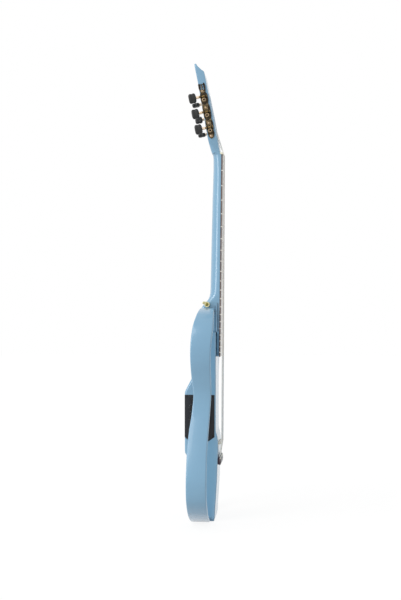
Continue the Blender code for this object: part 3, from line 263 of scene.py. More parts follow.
KNOBS = {
    "volume": (-0.0510, 0.2525),
    "effect": (-0.0250, 0.2525),
    "bass": (-0.0510, 0.2295),
    "treble": (-0.0250, 0.2295),
}
MARK_CIRCLE = 0.0095
POWER_BUTTON_AT = (-0.0510, 0.2710)
POWER_HOLE_RADIUS = 0.0045
POWER_BUTTON_PROFILE = (
    (-0.0120, 0.0), (-0.0120, 0.0020), (-0.0045, 0.0020), (-0.0045, 0.0041), (0.0014, 0.0041),
    (0.0022, 0.0039), (0.0027, 0.0033), (0.0028, 0.0026), (0.0024, 0.0014), (0.0023, 0.0),
)
EFFECT_SWITCH_AT = (-0.0250, 0.2710)
SWITCH_SLOT_HALF = (0.0060, 0.0020)
JACKS = {
    "headphone_jack": (-0.0560, 0.2045, 0.0018, 0.0042),
    "aux_in_jack": (-0.0410, 0.2045, 0.0018, 0.0042),
    "line_out_jack": (-0.0220, 0.2045, 0.0033, 0.0062),
    "dc_in_jack": (-0.0480, 0.1905, 0.0026, 0.0046),
}

# Battery bay. The door's corners are y and z.
CELL_RADIUS = 0.00725
CELL_LENGTH = 0.0505
CELL_X = -0.0590
CELLS_Y = (0.0122, 0.0278)
CELL_BOTTOM_Z = 0.1965
DOOR_THICKNESS = 0.0017
DOOR_LOW = (0.0010, 0.1895)
DOOR_HIGH = (0.0390, 0.2545)

# Side frames: the outer surface's y and z, then the back and front edges, from the heel round to the tail
BAND_THICKNESS = 0.0095
BAND_EDGE_RADIUS = 0.0030
BAND_PATH = (
    (HEEL_HALF_WIDTH + GAP, 0.4760, -0.0330, -0.0030),
    (0.0500, 0.4758, -0.0340, -0.0025),
    (0.0640, 0.4745, -0.0355, -0.0018),
    (0.0950, 0.4630, -0.0390, -0.0005),
    (0.1220, 0.4365, -0.0450, 0.0),
    (0.1360, 0.4000, -0.0483, -0.0034),
    (0.1360, 0.3620, -0.0485, -0.0050),
    (0.1240, 0.3250, -0.0470, -0.0052),
    (0.1150, 0.2900, -0.0437, -0.0051),
    (0.1180, 0.2520, -0.0466, -0.0072),
    (0.1370, 0.2120, -0.0512, -0.0089),
    (0.1600, 0.1720, -0.0533, -0.0103),
    (0.1780, 0.1300, -0.0535, -0.0100),
    (0.1830, 0.1000, -0.0535, -0.0100),
    (0.1750, 0.0660, -0.0536, -0.0100),
    (0.1500, 0.0400, -0.0538, -0.0100),
    (0.1200, 0.0220, -0.0540, -0.0105),
    (0.0860, 0.0080, -0.0538, -0.0108),
    (0.0620, 0.0015, -0.0535, -0.0112),
    (BODY_HALF_WIDTH + GAP, 0.0, -0.0530, -0.0115),
)
UPPER_PEG_AT = (-0.0140, 0.4712)
UPPER_PEG_RADIUS = 0.0038
LOWER_PEG_AT = (-0.0300, 0.0052)
LOWER_PEG_RADIUS = 0.0028
PEG_LENGTH = 0.0140
PEG_IN_BAND = 0.004

# Brass thumb screws and strap buttons
THUMB_SCREW_FOOT = (-0.0276, 0.0180, 0.4860)
THUMB_SCREW_AXIS = (-0.780, 0.0, 0.626)
THUMB_SCREW_SHANK = 0.0150
THUMB_SCREW_HEAD = (
    (GAP, 0.0023, 0.0), (0.0007, 0.0028, 0.6), (0.0010, 0.0028, 1.0), (0.0042, 0.0028, 1.0),
    (0.0047, 0.0026, 0.5), (0.0052, 0.0021, 0.0),
)
SCREW_HOLE_RADIUS = 0.0023
SCREW_SEAT_RADIUS = 0.0045
SCREW_SEAT_REACH = 0.0150
HEEL_STRAP_AT = (-0.0200, 0.4842)
TAIL_STRAP_Z = 0.0600
STRAP_BUTTON_PROFILE = (
    (0.0, 0.0050), (0.0020, 0.0050), (0.0045, 0.0036), (0.0085, 0.0036), (0.0108, 0.0060),
    (0.0122, 0.0062), (0.0134, 0.0059),
)

# Camera, as the photograph was taken
VIEW_AZIMUTH = math.radians(5.2)
VIEW_DISTANCE = 2.4
VIEW_CENTRE = (-0.0384, 0.0, 0.4941)
VIEW_HEIGHT = 1.3668

# Light: the room's level, a broad sun from the upper left and a large soft lamp beside it. The floor and the
# surroundings look white to the camera and in reflections, and are dimmer as light on the guitar.
SEEN_RAYS = ("Is Camera Ray", "Is Glossy Ray", "Is Transmission Ray")
WORLD_LEVEL = 0.60
SUN_TURN = (math.radians(50.0), 0.0, math.radians(-50.0))
SUN_ENERGY = 1.3
SUN_ANGLE = math.radians(50.0)
LAMP_AT = (-1.95, -1.51, 0.90)
LAMP_TURN = (math.radians(90.0), 0.0, math.radians(-52.0))
LAMP_SIZE = (0.80, 1.30)
LAMP_ENERGY = 14.0
FLOOR_SIZE = 14.0
FLOOR_Z = -0.0004
FLOOR_GREY = (0.70, 0.70, 0.70, 1.0)
FLOOR_ROUGHNESS = 0.9
FLOOR_GLOW = 1.07
FLOOR_GLOW_SHARE = 0.85


def at(x, y, z):
    """A place counted from the centre body's flat front."""
    return Vector((FRONT_X + x, y, z))


HEAD_PLACE = (Matrix.Translation(at(HEAD_FACE_X, 0.0, NUT_Z + NUT_LENGTH))
              @ Matrix.Rotation(-HEAD_LEAN, 4, "Y"))


def on_head(x, y, z):
    """A place counted from the headstock's face, above the nut."""
    return HEAD_PLACE @ Vector((x, y, z))


def between(low, high, share):
    """A value part of the way from low to high."""
    return low + (high - low) * share


def table(rows, place):
    """Read a value off (place, value) rows, straight between them."""
    if place <= rows[0][0]:
        return rows[0][1]
    for (low, first), (high, second) in zip(rows, rows[1:]):
        if place <= high:
            return between(first, second, (place - low) / (high - low))
    return rows[-1][1]


def eased(rows, place, reach):
    """The same reading averaged over a short stretch, so that its corners are round."""
    samples = 7
    steps = [place + reach * (2.0 * k / (samples - 1) - 1.0) for k in range(samples)]
    return sum(table(rows, step) for step in steps) / samples


def arc(steps, total=0.5 * math.pi, first=0.0):
    """Angles in even steps along an arc, both ends included."""
    return [first + total * k / steps for k in range(steps + 1)]


def circle(count):
    """Angles of this many points round a circle."""
    return [TURN * k / count for k in range(count)]


def smooth_path(points, steps):
    """A smooth curve through points of any length, with steps spans between neighbours."""
    ends = [points[0]] + list(points) + [points[-1]]
    curve = []
    for p0, p1, p2, p3 in zip(ends, ends[1:], ends[2:], ends[3:]):
        for k in range(steps):
            t = k / steps
            curve.append(tuple(
                0.5 * (2 * b + (c - a) * t + (2 * a - 5 * b + 4 * c - d) * t * t
                       + (3 * b - a - 3 * c + d) * t ** 3)
                for a, b, c, d in zip(p0, p1, p2, p3)
            ))
    curve.append(tuple(points[-1]))
    return curve


# Modelling steps

def clear_selection():
    """Go back to object mode with nothing selected."""
    if bpy.context.object and bpy.context.object.mode == "EDIT":
        bpy.ops.object.mode_set(mode="OBJECT")
    bpy.ops.object.select_all(action="DESELECT")


def pick(*pieces):
    """Select these pieces only; the first one is the active one."""
    clear_selection()
    for piece in pieces:
        piece.select_set(True)
    bpy.context.view_layer.objects.active = pieces[0]


def named(name):
    """The piece just made, under its name."""
    piece = bpy.context.object
    piece.name = name
    piece.data.name = name
    return piece


def outline(name, points):
    """A flat face round these points: a circle whose points are moved to them. Stays in edit mode."""
    clear_selection()
    bpy.ops.mesh.primitive_circle_add(vertices=len(points), fill_type="NGON")
    piece = named(name)
    bpy.ops.object.mode_set(mode="EDIT")
    mesh = bmesh.from_edit_mesh(piece.data)
    for vertex, point in zip(mesh.verts, points):
        vertex.co = point
    bmesh.update_edit_mesh(piece.data)
    bpy.ops.mesh.select_all(action="SELECT")
    return piece


def close_shape():
    """Merge what coincides, turn the faces outwards and leave edit mode."""
    bpy.ops.mesh.select_all(action="SELECT")
    bpy.ops.mesh.remove_doubles(threshold=1e-6)
    bpy.ops.mesh.normals_make_consistent(inside=False)
    bpy.ops.object.mode_set(mode="OBJECT")


def slab(name, points, reach):
    """A flat outline extruded by a vector."""
    piece = outline(name, points)
    bpy.ops.mesh.extrude_region_move(TRANSFORM_OT_translate={"value": reach})
    close_shape()
    return piece


def loft(name, rings):
    """A closed skin: the first ring is filled, then its face is extruded from ring to ring."""
    piece = outline(name, rings[0])
    for before, after in zip(rings, rings[1:]):
        bpy.ops.mesh.extrude_region_move()
        finder = KDTree(len(before))
        for index, point in enumerate(before):
            finder.insert(point, index)
        finder.balance()
        mesh = bmesh.from_edit_mesh(piece.data)
        for vertex in mesh.verts:
            if vertex.select:
                vertex.co = after[finder.find(vertex.co)[1]]
        bmesh.update_edit_mesh(piece.data)
    close_shape()
    return piece


def turned(name, profile, centre, axis, steps=40):
    """A profile of (distance along the axis, radius) pairs, drawn from a point and spun once round."""
    axis = Vector(axis).normalized()
    side = axis.orthogonal().normalized()
    points = [Vector(centre) + along * axis + radius * side for along, radius in profile]
    clear_selection()
    bpy.ops.mesh.primitive_plane_add(size=0.001, location=points[0])
    piece = named(name)
    bpy.ops.object.transform_apply(location=True, rotation=False, scale=False)
    bpy.ops.object.mode_set(mode="EDIT")
    bpy.ops.mesh.select_mode(type="VERT")
    bpy.ops.mesh.select_all(action="SELECT")
    bpy.ops.mesh.merge(type="CENTER")
    for before, after in zip(points, points[1:]):
        bpy.ops.mesh.extrude_region_move(TRANSFORM_OT_translate={"value": after - before})
    bpy.ops.mesh.select_all(action="SELECT")
    bpy.ops.mesh.spin(steps=steps, angle=TURN, center=centre, axis=axis)
    close_shape()
    return piece


def wire(name, points, radius, straight=False, resolution=6, sides=3, closed=False):
    """A round wire along a curve through the points, turned into a mesh."""
    clear_selection()
    bpy.ops.curve.primitive_bezier_curve_add()
    data = named(name).data
    data.dimensions = "3D"
    spline = data.splines[0]
    spline.bezier_points.add(len(points) - 2)
    for knot, point in zip(spline.bezier_points, points):
        knot.handle_left_type = knot.handle_right_type = "VECTOR" if straight else "AUTO"
        knot.co = point
    spline.use_cyclic_u = closed
    data.resolution_u = 1 if straight else resolution
    data.bevel_depth = radius
    data.bevel_resolution = sides
    data.use_fill_caps = True
    bpy.ops.object.convert(target="MESH")
    piece = bpy.context.object
    pick(piece)
    bpy.ops.object.mode_set(mode="EDIT")
    close_shape()
    return piece


def apply(piece, kind, **values):
    """Add one modifier and apply it."""
    pick(piece)
    change = piece.modifiers.new(kind, kind)
    for key, value in values.items():
        setattr(change, key, value)
    bpy.ops.object.modifier_apply(modifier=change.name)


def soften(piece, width, segments=3, degrees=40.0):
    """Round the sharp edges."""
    apply(piece, "BEVEL", width=width, segments=segments, limit_method="ANGLE",
          angle_limit=math.radians(degrees), use_clamp_overlap=True)


def smooth(piece, degrees=35.0):
    """Shade smooth, except over sharp edges."""
    pick(piece)
    bpy.ops.object.shade_smooth_by_angle(angle=math.radians(degrees))


def cut(piece, guide):
    """Cut the guide's shape out of the piece and remove the guide."""
    apply(piece, "BOOLEAN", operation="DIFFERENCE", solver="MANIFOLD", object=guide)
    bpy.data.objects.remove(guide)


def box(name, low, high):
    """A block between two corners."""
    clear_selection()
    low, high = Vector(low), Vector(high)
    bpy.ops.mesh.primitive_cube_add(size=1.0, location=0.5 * (low + high))
    piece = named(name)
    piece.scale = high - low
    bpy.ops.object.transform_apply(location=True, rotation=False, scale=True)
    return piece


def bar(name, low, high, radius, steps=24):
    """A round bar between two points."""
    low, high = Vector(low), Vector(high)
    length = (high - low).length
    profile = ((0.0, 0.0), (0.0, radius), (length, radius), (length, 0.0))
    return turned(name, profile, low, high - low, steps)


def join(name, pieces):
    """Make several meshes one piece."""
    pick(*pieces)
    bpy.ops.object.join()
    return named(name)


def twin(piece, name, place):
    """A copy with its own mesh, moved by a matrix; a mirrored copy has its faces turned back outwards."""
    other = piece.copy()
    other.data = piece.data.copy()
    other.name = name
    other.data.name = name
    bpy.context.scene.collection.objects.link(other)
    other.data.transform(place)
    if place.determinant() < 0.0:
        other.data.flip_normals()
    return other


def done(piece, body, slot, paint, *nodes):
    """Give a piece its finish and its body, and say which nodes of the frame it stands for."""
    piece.data.materials.clear()
    piece.data.materials.append(paint)
    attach(piece, body)
    if nodes:
        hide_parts(*nodes)


def rounded_section(front, back, half, z, front_radius, back_radius, steps=5):
    """A section across the guitar at one height, with its four corners rounded."""
    ring = []
    corners = ((front, half, front_radius, 0.0), (back, half, back_radius, 0.25),
               (back, -half, back_radius, 0.5), (front, -half, front_radius, 0.75))
    for x, y, radius, first in corners:
        radius = min(radius, 0.45 * (front - back))
        middle_x = x - math.copysign(radius, x - 0.5 * (front + back))
        middle_y = y - math.copysign(radius, y)
        for k in range(steps + 1):
            angle = TURN * (first + 0.25 * k / steps)
            place = (middle_x + radius * math.cos(angle), middle_y + radius * math.sin(angle), z)
            ring.append(Vector(place))
    return ring


# Finishes

def new_group(name, inputs, outputs):
    """An empty node group with named sockets; returns it with its input and output nodes."""
    group = bpy.data.node_groups.new(name, "ShaderNodeTree")
    for label, kind, value in inputs:
        socket = group.interface.new_socket(name=label, in_out="INPUT", socket_type=kind)
        socket.default_value = value
    for label, kind in outputs:
        group.interface.new_socket(name=label, in_out="OUTPUT", socket_type=kind)
    return group, group.nodes.new("NodeGroupInput"), group.nodes.new("NodeGroupOutput")


def surface_group():
    """Soft blotches, fine texture and the bump that the fine texture makes, all stretched by one vector."""
    group, given, result = new_group(
        "surface_texture",
        (("Stretch", "NodeSocketVector", (1.0, 1.0, 1.0)), ("Blotch Scale", "NodeSocketFloat", 20.0),
         ("Fine Scale", "NodeSocketFloat", 800.0), ("Relief", "NodeSocketFloat", 0.1),
         ("Depth", "NodeSocketFloat", 0.0001)),
        (("Blotch", "NodeSocketFloat"), ("Fine", "NodeSocketFloat"), ("Normal", "NodeSocketVector")),
    )
    nodes, links = group.nodes, group.links
    place = nodes.new("ShaderNodeTexCoord")
    stretch = nodes.new("ShaderNodeVectorMath")
    stretch.operation = "MULTIPLY"
    links.new(place.outputs["Object"], stretch.inputs[0])
    links.new(given.outputs["Stretch"], stretch.inputs[1])
    for label, detail, out in (("Blotch Scale", 3.0, "Blotch"), ("Fine Scale", 2.0, "Fine")):
        noise = nodes.new("ShaderNodeTexNoise")
        noise.name = out
        noise.inputs["Detail"].default_value = detail
        links.new(stretch.outputs[0], noise.inputs["Vector"])
        links.new(given.outputs[label], noise.inputs["Scale"])
        links.new(noise.outputs["Fac"], result.inputs[out])
    bump = nodes.new("ShaderNodeBump")
    links.new(given.outputs["Relief"], bump.inputs["Strength"])
    links.new(given.outputs["Depth"], bump.inputs["Distance"])
    links.new(nodes["Fine"].outputs["Fac"], bump.inputs["Height"])
    links.new(bump.outputs["Normal"], result.inputs["Normal"])
    return group


def calculate(tree, operation, first, second, clamp=False):
    """A math node on two sockets or plain numbers; returns its result."""
    node = tree.nodes.new("ShaderNodeMath")
    node.operation = operation
    node.use_clamp = clamp
    for socket, value in zip(node.inputs, (first, second)):
        if isinstance(value, float):
            socket.default_value = value
        else:
            tree.links.new(value, socket)
    return node.outputs[0]


def hollow_dirt_and_shade_group():
    """A mask of the hollows and inner corners: their ambient occlusion as painted shade, plus uneven dirt
    and patina.
    """
    group, given, result = new_group(
        "hollow_dirt_and_shade_mask",
        (("Reach", "NodeSocketFloat", 0.002), ("Unevenness", "NodeSocketFloat", 0.5)),
        (("Mask", "NodeSocketFloat"),),
    )
    nodes, links = group.nodes, group.links
    shade = nodes.new("ShaderNodeAmbientOcclusion")
    shade.samples = 8
    links.new(given.outputs["Reach"], shade.inputs["Distance"])
    place = nodes.new("ShaderNodeTexCoord")
    noise = nodes.new("ShaderNodeTexNoise")
    noise.inputs["Scale"].default_value = 420.0
    noise.inputs["Detail"].default_value = 3.0
    links.new(place.outputs["Object"], noise.inputs["Vector"])
    uneven = calculate(group, "MULTIPLY", noise.outputs["Fac"], given.outputs["Unevenness"])
    # Occlusion raises the mask in hollows and corners: painted shade there, with the noise as uneven dirt.
    darker = calculate(group, "SUBTRACT", 1.0, shade.outputs["AO"])
    links.new(calculate(group, "ADD", darker, uneven, True), result.inputs["Mask"])
    return group


SURFACE = surface_group()
HOLLOW_DIRT_AND_SHADE = hollow_dirt_and_shade_group()


def linear(code):
    """A written colour such as 8AB4CC as the linear values that a shader takes."""
    values = []
    for k in (0, 2, 4):
        value = int(code[k:k + 2], 16) / 255.0
        values.append(value / 12.92 if value <= 0.04045 else ((value + 0.055) / 1.055) ** 2.4)
    return (*values, 1.0)


def mix_colours(tree, factor, first, second):
    """Blend two colours by a mask, over the middle part of its range."""
    ramp = tree.nodes.new("ShaderNodeValToRGB")
    for element, position, colour in zip(ramp.color_ramp.elements, (0.35, 0.65), (first, second)):
        element.position = position
        element.color = colour
    tree.links.new(factor, ramp.inputs["Fac"])
    return ramp.outputs["Color"]


def finish(name, colour, other, roughness, metallic=0.0, stretch=(1.0, 1.0, 1.0), blotch=20.0, fine=800.0,
           relief=0.1, depth=0.0001, dirt_and_shade=None, **constants):
    """One finish: two near colours in blotches, uneven roughness and a fine relief, with dirt and painted
    shade in hollows.
    """
    made = bpy.data.materials.new(name)
    made.use_nodes = True
    tree = made.node_tree
    shader = tree.nodes["Principled BSDF"]
    texture = tree.nodes.new("ShaderNodeGroup")
    texture.node_tree = SURFACE
    for label, value in (("Stretch", stretch), ("Blotch Scale", blotch), ("Fine Scale", fine),
                         ("Relief", relief), ("Depth", depth)):
        texture.inputs[label].default_value = value
    skin_colour = mix_colours(tree, texture.outputs["Blotch"], linear(colour), linear(other))
    # Hollows and inner corners take the dark colour: painted shade from ambient occlusion, mixed with uneven
    # dirt.
    if dirt_and_shade:
        hollows = tree.nodes.new("ShaderNodeGroup")
        hollows.node_tree = HOLLOW_DIRT_AND_SHADE
        hollows.inputs["Unevenness"].default_value = dirt_and_shade[1]
        blend = tree.nodes.new("ShaderNodeMix")
        blend.data_type = "RGBA"
        tree.links.new(hollows.outputs["Mask"], blend.inputs[0])
        tree.links.new(skin_colour, blend.inputs[6])
        blend.inputs[7].default_value = linear(dirt_and_shade[0])
        skin_colour = blend.outputs[2]
    tree.links.new(skin_colour, shader.inputs["Base Color"])
    rough = tree.nodes.new("ShaderNodeMapRange")
    rough.inputs["To Min"].default_value = roughness[0]
    rough.inputs["To Max"].default_value = roughness[1]
    tree.links.new(texture.outputs["Fine"], rough.inputs["Value"])
    tree.links.new(rough.outputs["Result"], shader.inputs["Roughness"])
    tree.links.new(texture.outputs["Normal"], shader.inputs["Normal"])
    shader.inputs["Metallic"].default_value = metallic
    for key, value in constants.items():
        shader.inputs[key.replace("_", " ")].default_value = value
    made.diffuse_color = linear(colour)
    return made


LACQUER = finish("blue_lacquer", "7CA7C3", "78A3C0", (0.20, 0.28), blotch=9.0, fine=950.0, relief=0.05,
                 depth=0.00002, Coat_Weight=0.55, Coat_Roughness=0.06)
ROSEWOOD = finish("rosewood_along", "4A3A36", "6E5850", (0.10, 0.20), stretch=(1.0, 1.0, 0.05), blotch=420.0,
                  fine=1500.0, relief=0.15, depth=0.00008, Coat_Weight=0.8, Coat_Roughness=0.06)
ROSEWOOD_ACROSS = finish("rosewood_across", "35232A", "5E4655", (0.34, 0.50), stretch=(1.0, 0.05, 1.0),
                         blotch=420.0, fine=1500.0, relief=0.25, depth=0.00010)
BONE = finish("bone", "F8F2DF", "ECE4C9", (0.26, 0.40), blotch=160.0, fine=1400.0, relief=0.08,
              Subsurface_Weight=0.08)
FRET_METAL = finish("fret_metal", "F0ECE4", "DEDAD2", (0.20, 0.34), 1.0, stretch=(1.0, 0.1, 1.0),
                    blotch=300.0, fine=2600.0, relief=0.05)
STEEL = finish("steel", "B4B6B8", "A2A4A7", (0.22, 0.36), 1.0, blotch=150.0, fine=2200.0, relief=0.06)
# In these finishes the third, dark colour fills hollows and inner corners: dirt, and painted shade there.
DARK_STEEL = finish("dark_steel", "2C2A28", "1C1B1A", (0.34, 0.50), 0.6, blotch=200.0, fine=2400.0,
                    relief=0.08, dirt_and_shade=("0C0906", 0.40))
OLD_GOLD = finish("old_gold", "453A26", "251E12", (0.34, 0.55), 0.6, blotch=480.0, fine=1700.0, relief=0.30,
                  depth=0.00012, dirt_and_shade=("17110B", 0.62))
WORN_GILT = finish("worn_gilt", "E0C4AA", "A8906A", (0.26, 0.42), 0.9, blotch=620.0, fine=1900.0,
                   relief=0.20, depth=0.00008, dirt_and_shade=("2E2416", 0.34))
AGED_GILT = finish("aged_gilt", "B79F78", "5E5132", (0.28, 0.46), 0.85, blotch=620.0, fine=1900.0,
                   relief=0.25, depth=0.00010, dirt_and_shade=("1C150C", 0.50))
WORM_GOLD = finish("worm_gold", "B59A68", "8C7446", (0.26, 0.40), 1.0, blotch=300.0, fine=2200.0,
                   relief=0.10, dirt_and_shade=("2C2112", 0.35))
PALE_FERRULE = finish("pale_ferrule", "F8E4CC", "EED2AE", (0.24, 0.36), 0.4, blotch=260.0, fine=2000.0,
                      relief=0.06, dirt_and_shade=("A07E4E", 0.10))
BRASS = finish("brass", "EEE8BC", "CCC388", (0.24, 0.38), 1.0, blotch=420.0, fine=2200.0, relief=0.08,
               dirt_and_shade=("3E3616", 0.22))
DARK_BRASS = finish("dark_brass", "A69C50", "847A38", (0.28, 0.42), 0.8, blotch=420.0, fine=2200.0,
                    relief=0.08, dirt_and_shade=("241C0A", 0.20))
BUTTON_BLACK = finish("button_black", "292A29", "202121", (0.34, 0.48), blotch=180.0, fine=1600.0,
                      relief=0.10, Specular_IOR_Level=0.35)
KNOB_BLACK = finish("knob_black", "1E1F21", "191A1C", (0.42, 0.55), blotch=180.0, fine=3200.0, relief=0.25,
                    Specular_IOR_Level=0.35)
PANEL_BLACK = finish("panel_black", "1F2127", "202327", (0.42, 0.55), blotch=70.0, fine=2400.0, relief=0.30,
                     depth=0.00006, Specular_IOR_Level=0.3)
IVORY = finish("ivory_plastic", "EDE9DC", "E2DCCB", (0.30, 0.42), blotch=140.0, fine=1500.0, relief=0.06)
MARK_WHITE = finish("mark_white", "C8C8C4", "B8B8B4", (0.45, 0.55), blotch=500.0, fine=3000.0, relief=0.05)
NYLON = finish("nylon", "F0F0EC", "E4E4E0", (0.16, 0.26), blotch=90.0, fine=1800.0, relief=0.05,
               Subsurface_Weight=0.1)
CELL_JACKET = finish("cell_jacket", "8F9499", "7E848A", (0.28, 0.38), 0.6, blotch=60.0, fine=1800.0,
                     relief=0.06)
BOARD_GREEN = finish("board_green", "1E5B36", "184C2D", (0.35, 0.55), stretch=(1.0, 1.0, 0.3), blotch=600.0,
                     fine=2400.0, relief=0.20)
PICKUP_FILM = finish("pickup_film", "B08C58", "9B7847", (0.30, 0.42), 0.8, blotch=300.0, fine=2000.0,
                     relief=0.08)


def winding(name, pitch):
    """Silver wire wound round a string: fine bands along it, as relief and as shade."""
    made = finish(name, "F5F3EE", "E6E4DD", (0.26, 0.36), 0.8, blotch=200.0, fine=2600.0, relief=0.04)
    tree = made.node_tree
    place = tree.nodes.new("ShaderNodeTexCoord")
    bands = tree.nodes.new("ShaderNodeTexWave")
    bands.bands_direction = "Z"
    bands.inputs["Scale"].default_value = TURN / 20.0 / pitch
    bands.inputs["Distortion"].default_value = 0.0
    tree.links.new(place.outputs["Object"], bands.inputs["Vector"])
    bump = tree.nodes.new("ShaderNodeBump")
    bump.inputs["Strength"].default_value = 0.6
    bump.inputs["Distance"].default_value = 0.3 * pitch
    tree.links.new(bands.outputs["Fac"], bump.inputs["Height"])
    shader = tree.nodes["Principled BSDF"]
    tree.links.new(bump.outputs["Normal"], shader.inputs["Normal"])
    return made


SILVER_WINDING = winding("silver_winding", 0.00024)


# Neck and headstock

def glue_x(z):
    """Underside of the fingerboard at a height."""
    return between(GLUE_X_AT_END, GLUE_X_AT_NUT, (z - BOARD_END_Z) / (NUT_Z - BOARD_END_Z))


def paint_x(z):
    """Where the neck's paint ends at a height, a little up the board's side."""
    return glue_x(z) + PAINT_RISE


def board_half_width(z):
    """Half the fingerboard's width at a height."""
    growth = (TWELFTH_FRET_WIDTH - NUT_WIDTH) / (0.5 * SCALE_LENGTH)
    return 0.5 * (NUT_WIDTH + growth * (NUT_Z - z))


def head_thickness(z):
    """The headstock's thickness: it tapers to the tip, and hollows at the back near the neck."""
    hollow = THROAT_HOLLOW * max(0.0, 1.0 - z / THROAT_LENGTH) ** 2
    return between(HEAD_THICK_AT_NUT, HEAD_THICK_AT_TIP, z / HEAD_LENGTH) - hollow


def head_front(z):
    """How far the headstock's front face stands proud of its plane away from the nut."""
    return HEAD_SWELL * min(1.0, z / HEAD_SWELL_REACH)


def neck_ring(z, half_width, front, back, power, tilt=0.0, ledge=0.0):
    """A flat-fronted neck section; a high power makes its back squarer, a ledge steps its front part in."""
    shoulder = between(front, LEDGE_X, ledge)
    step_x = shoulder + LEDGE_EDGE * ledge
    step_z = z + (shoulder - front) * tilt
    inner = half_width - LEDGE_DEPTH * ledge
    ring = [at(front, inner, z), at(step_x, inner, step_z)]
    for angle in arc(36, math.pi):
        across = math.copysign(abs(math.cos(angle)) ** (2.0 / power), math.cos(angle))
        depth = abs(math.sin(angle)) ** (2.0 / power)
        x = between(shoulder - LEDGE_EDGE, back, depth)
        ring.append(at(x, half_width * across, z + (x - front) * tilt))
    return ring + [at(step_x, -inner, step_z), at(front, -inner, z)]


def on_screw_axis(side, profile, name):
    """Something round on a thumb screw's axis, in the heel's slope."""
    x, y, z = THUMB_SCREW_FOOT
    return turned(name, profile, at(x, side * y, z), THUMB_SCREW_AXIS, 48)


def make_neck():
    """Shaft, heel block and the tongue under the last frets."""
    tilt = math.tan(HEAD_LEAN)
    head_back = HEAD_FACE_X - head_thickness(0.0) * math.cos(HEAD_LEAN)
    half = 0.5 * NUT_WIDTH + 0.001
    top = NUT_Z + NUT_LENGTH - 0.0001
    rings = [neck_ring(top, half + 0.0002, HEAD_FACE_X, head_back - 0.0003, 3.0, tilt),
             neck_ring(NUT_Z + 0.3 * NUT_LENGTH, half - 0.0004, HEAD_FACE_X, -0.0102, 2.7, 0.3 * tilt),
             neck_ring(NUT_Z - GAP, half - 0.0008, paint_x(NUT_Z), -0.0098, 2.6)]
    low = BODY_TOP_Z + 2 * GAP
    for k in range(NECK_STEPS + 1):
        z = between(NECK_TOP_Z, low, k / NECK_STEPS)
        reach = min(0.003, z - low)
        half = min(board_half_width(z), HEEL_HALF_WIDTH + max(0.0, HEEL_TAPER * (z - HEEL_TAPER_Z)))
        rings.append(neck_ring(z, half, paint_x(z), eased(NECK_BACK, z, reach),
                               eased(NECK_SQUARENESS, z, reach), ledge=table(HEEL_LEDGE, z)))
    rings.append(neck_ring(low, board_half_width(low) - TONGUE_INSET, paint_x(low), GAP, HEEL_SQUARENESS))
    for angle in arc(8):
        z = BOARD_END_Z + TONGUE_END_RADIUS * (1.0 - math.sin(angle))
        half = board_half_width(z) - TONGUE_END_TAPER * (1.0 - math.cos(angle)) - TONGUE_INSET
        rings.append(neck_ring(z, half, paint_x(z), GAP, HEEL_SQUARENESS))
    neck = loft("neck_shaft", rings)
    end = -THUMB_SCREW_SHANK - GAP
    seat = ((end, 0.0), (end, SCREW_HOLE_RADIUS), (0.0, SCREW_HOLE_RADIUS), (0.0, SCREW_SEAT_RADIUS),
            (SCREW_SEAT_REACH, SCREW_SEAT_RADIUS), (SCREW_SEAT_REACH, 0.0))
    for side in (-1, 1):
        x, z = UPPER_PEG_AT
        cut(neck, bar("peg_socket", at(x, side * (HEEL_HALF_WIDTH - PEG_LENGTH - GAP), z),
                      at(x, side * 0.040, z), UPPER_PEG_RADIUS + GAP))
        cut(neck, on_screw_axis(side, seat, "screw_seat"))
        for back, front, depth, top in HEEL_GROOVES:
            inner, outer = sorted((side * (HEEL_HALF_WIDTH - depth), side * 0.0335))
            cut(neck, box("heel_groove", at(back, inner, BODY_TOP_Z + 0.001), at(front, outer, top)))
    smooth(neck, 30.0)
    done(neck, "root", "blue_paint", LACQUER, "neck")


def make_headstock():
    """Slotted head with eased edges, two string slots and a scooped upper end."""
    heights = [0.002 * k for k in range(21)] + [0.05 + 0.01 * k for k in range(13)]
    heights += [SCOOP_START_Z + (HEAD_LENGTH - SCOOP_START_Z) * k / 24 for k in range(25)]
    rings = []
    for z in heights:
        front = eased(SCOOP, z, min(0.0012, HEAD_LENGTH - z)) + head_front(z)
        swell = TIP_SWELL * min(1.0, max(0.0, (z - TIP_SWELL_FROM) / TIP_SWELL_REACH))
        back = -head_thickness(z) - swell
        half = eased(HEAD_WIDTHS, z, min(0.002, z, HEAD_LENGTH - z))
        corner = between(THROAT_CORNER, HEAD_BACK_CORNER, min(1.0, z / THROAT_CORNER_REACH))
        section = rounded_section(front, back, half, z, HEAD_FRONT_CORNER, corner, 6)
        rings.append([HEAD_PLACE @ point for point in section])
    head = loft("slotted_head", rings)
    middle = 0.5 * (SLOT_INNER_Y + SLOT_OUTER_Y)
    radius = 0.5 * (SLOT_OUTER_Y - SLOT_INNER_Y)
    slot_edge = ((0.002, SLOT_LIP), (0.0, SLOT_LIP), (-0.5 * SLOT_LIP, 0.3 * SLOT_LIP), (-SLOT_LIP, 0.0))
    levels = [(0.0, offset, lip) for offset, lip in slot_edge]
    levels += [(1.0, -offset, lip) for offset, lip in reversed(slot_edge)]
    for side in (-1, 1):
        rings = []
        for through, offset, lip in levels:
            ring = []
            for centre, first in ((SLOT_TOP_Z - radius, 0.0), (SLOT_BOTTOM_Z + radius, math.pi)):
                for angle in arc(16, math.pi, first):
                    y = middle + (radius + lip) * math.cos(angle)
                    z = centre + (radius + lip) * math.sin(angle)
                    face = (1.0 - through) * head_front(z) - through * head_thickness(z)
                    ring.append(on_head(offset + face, side * y, z))
            rings.append(ring)
        cut(head, loft("slot_guide", rings))
    smooth(head, 30.0)
    done(head, "root", "blue_paint", LACQUER, "headstock")


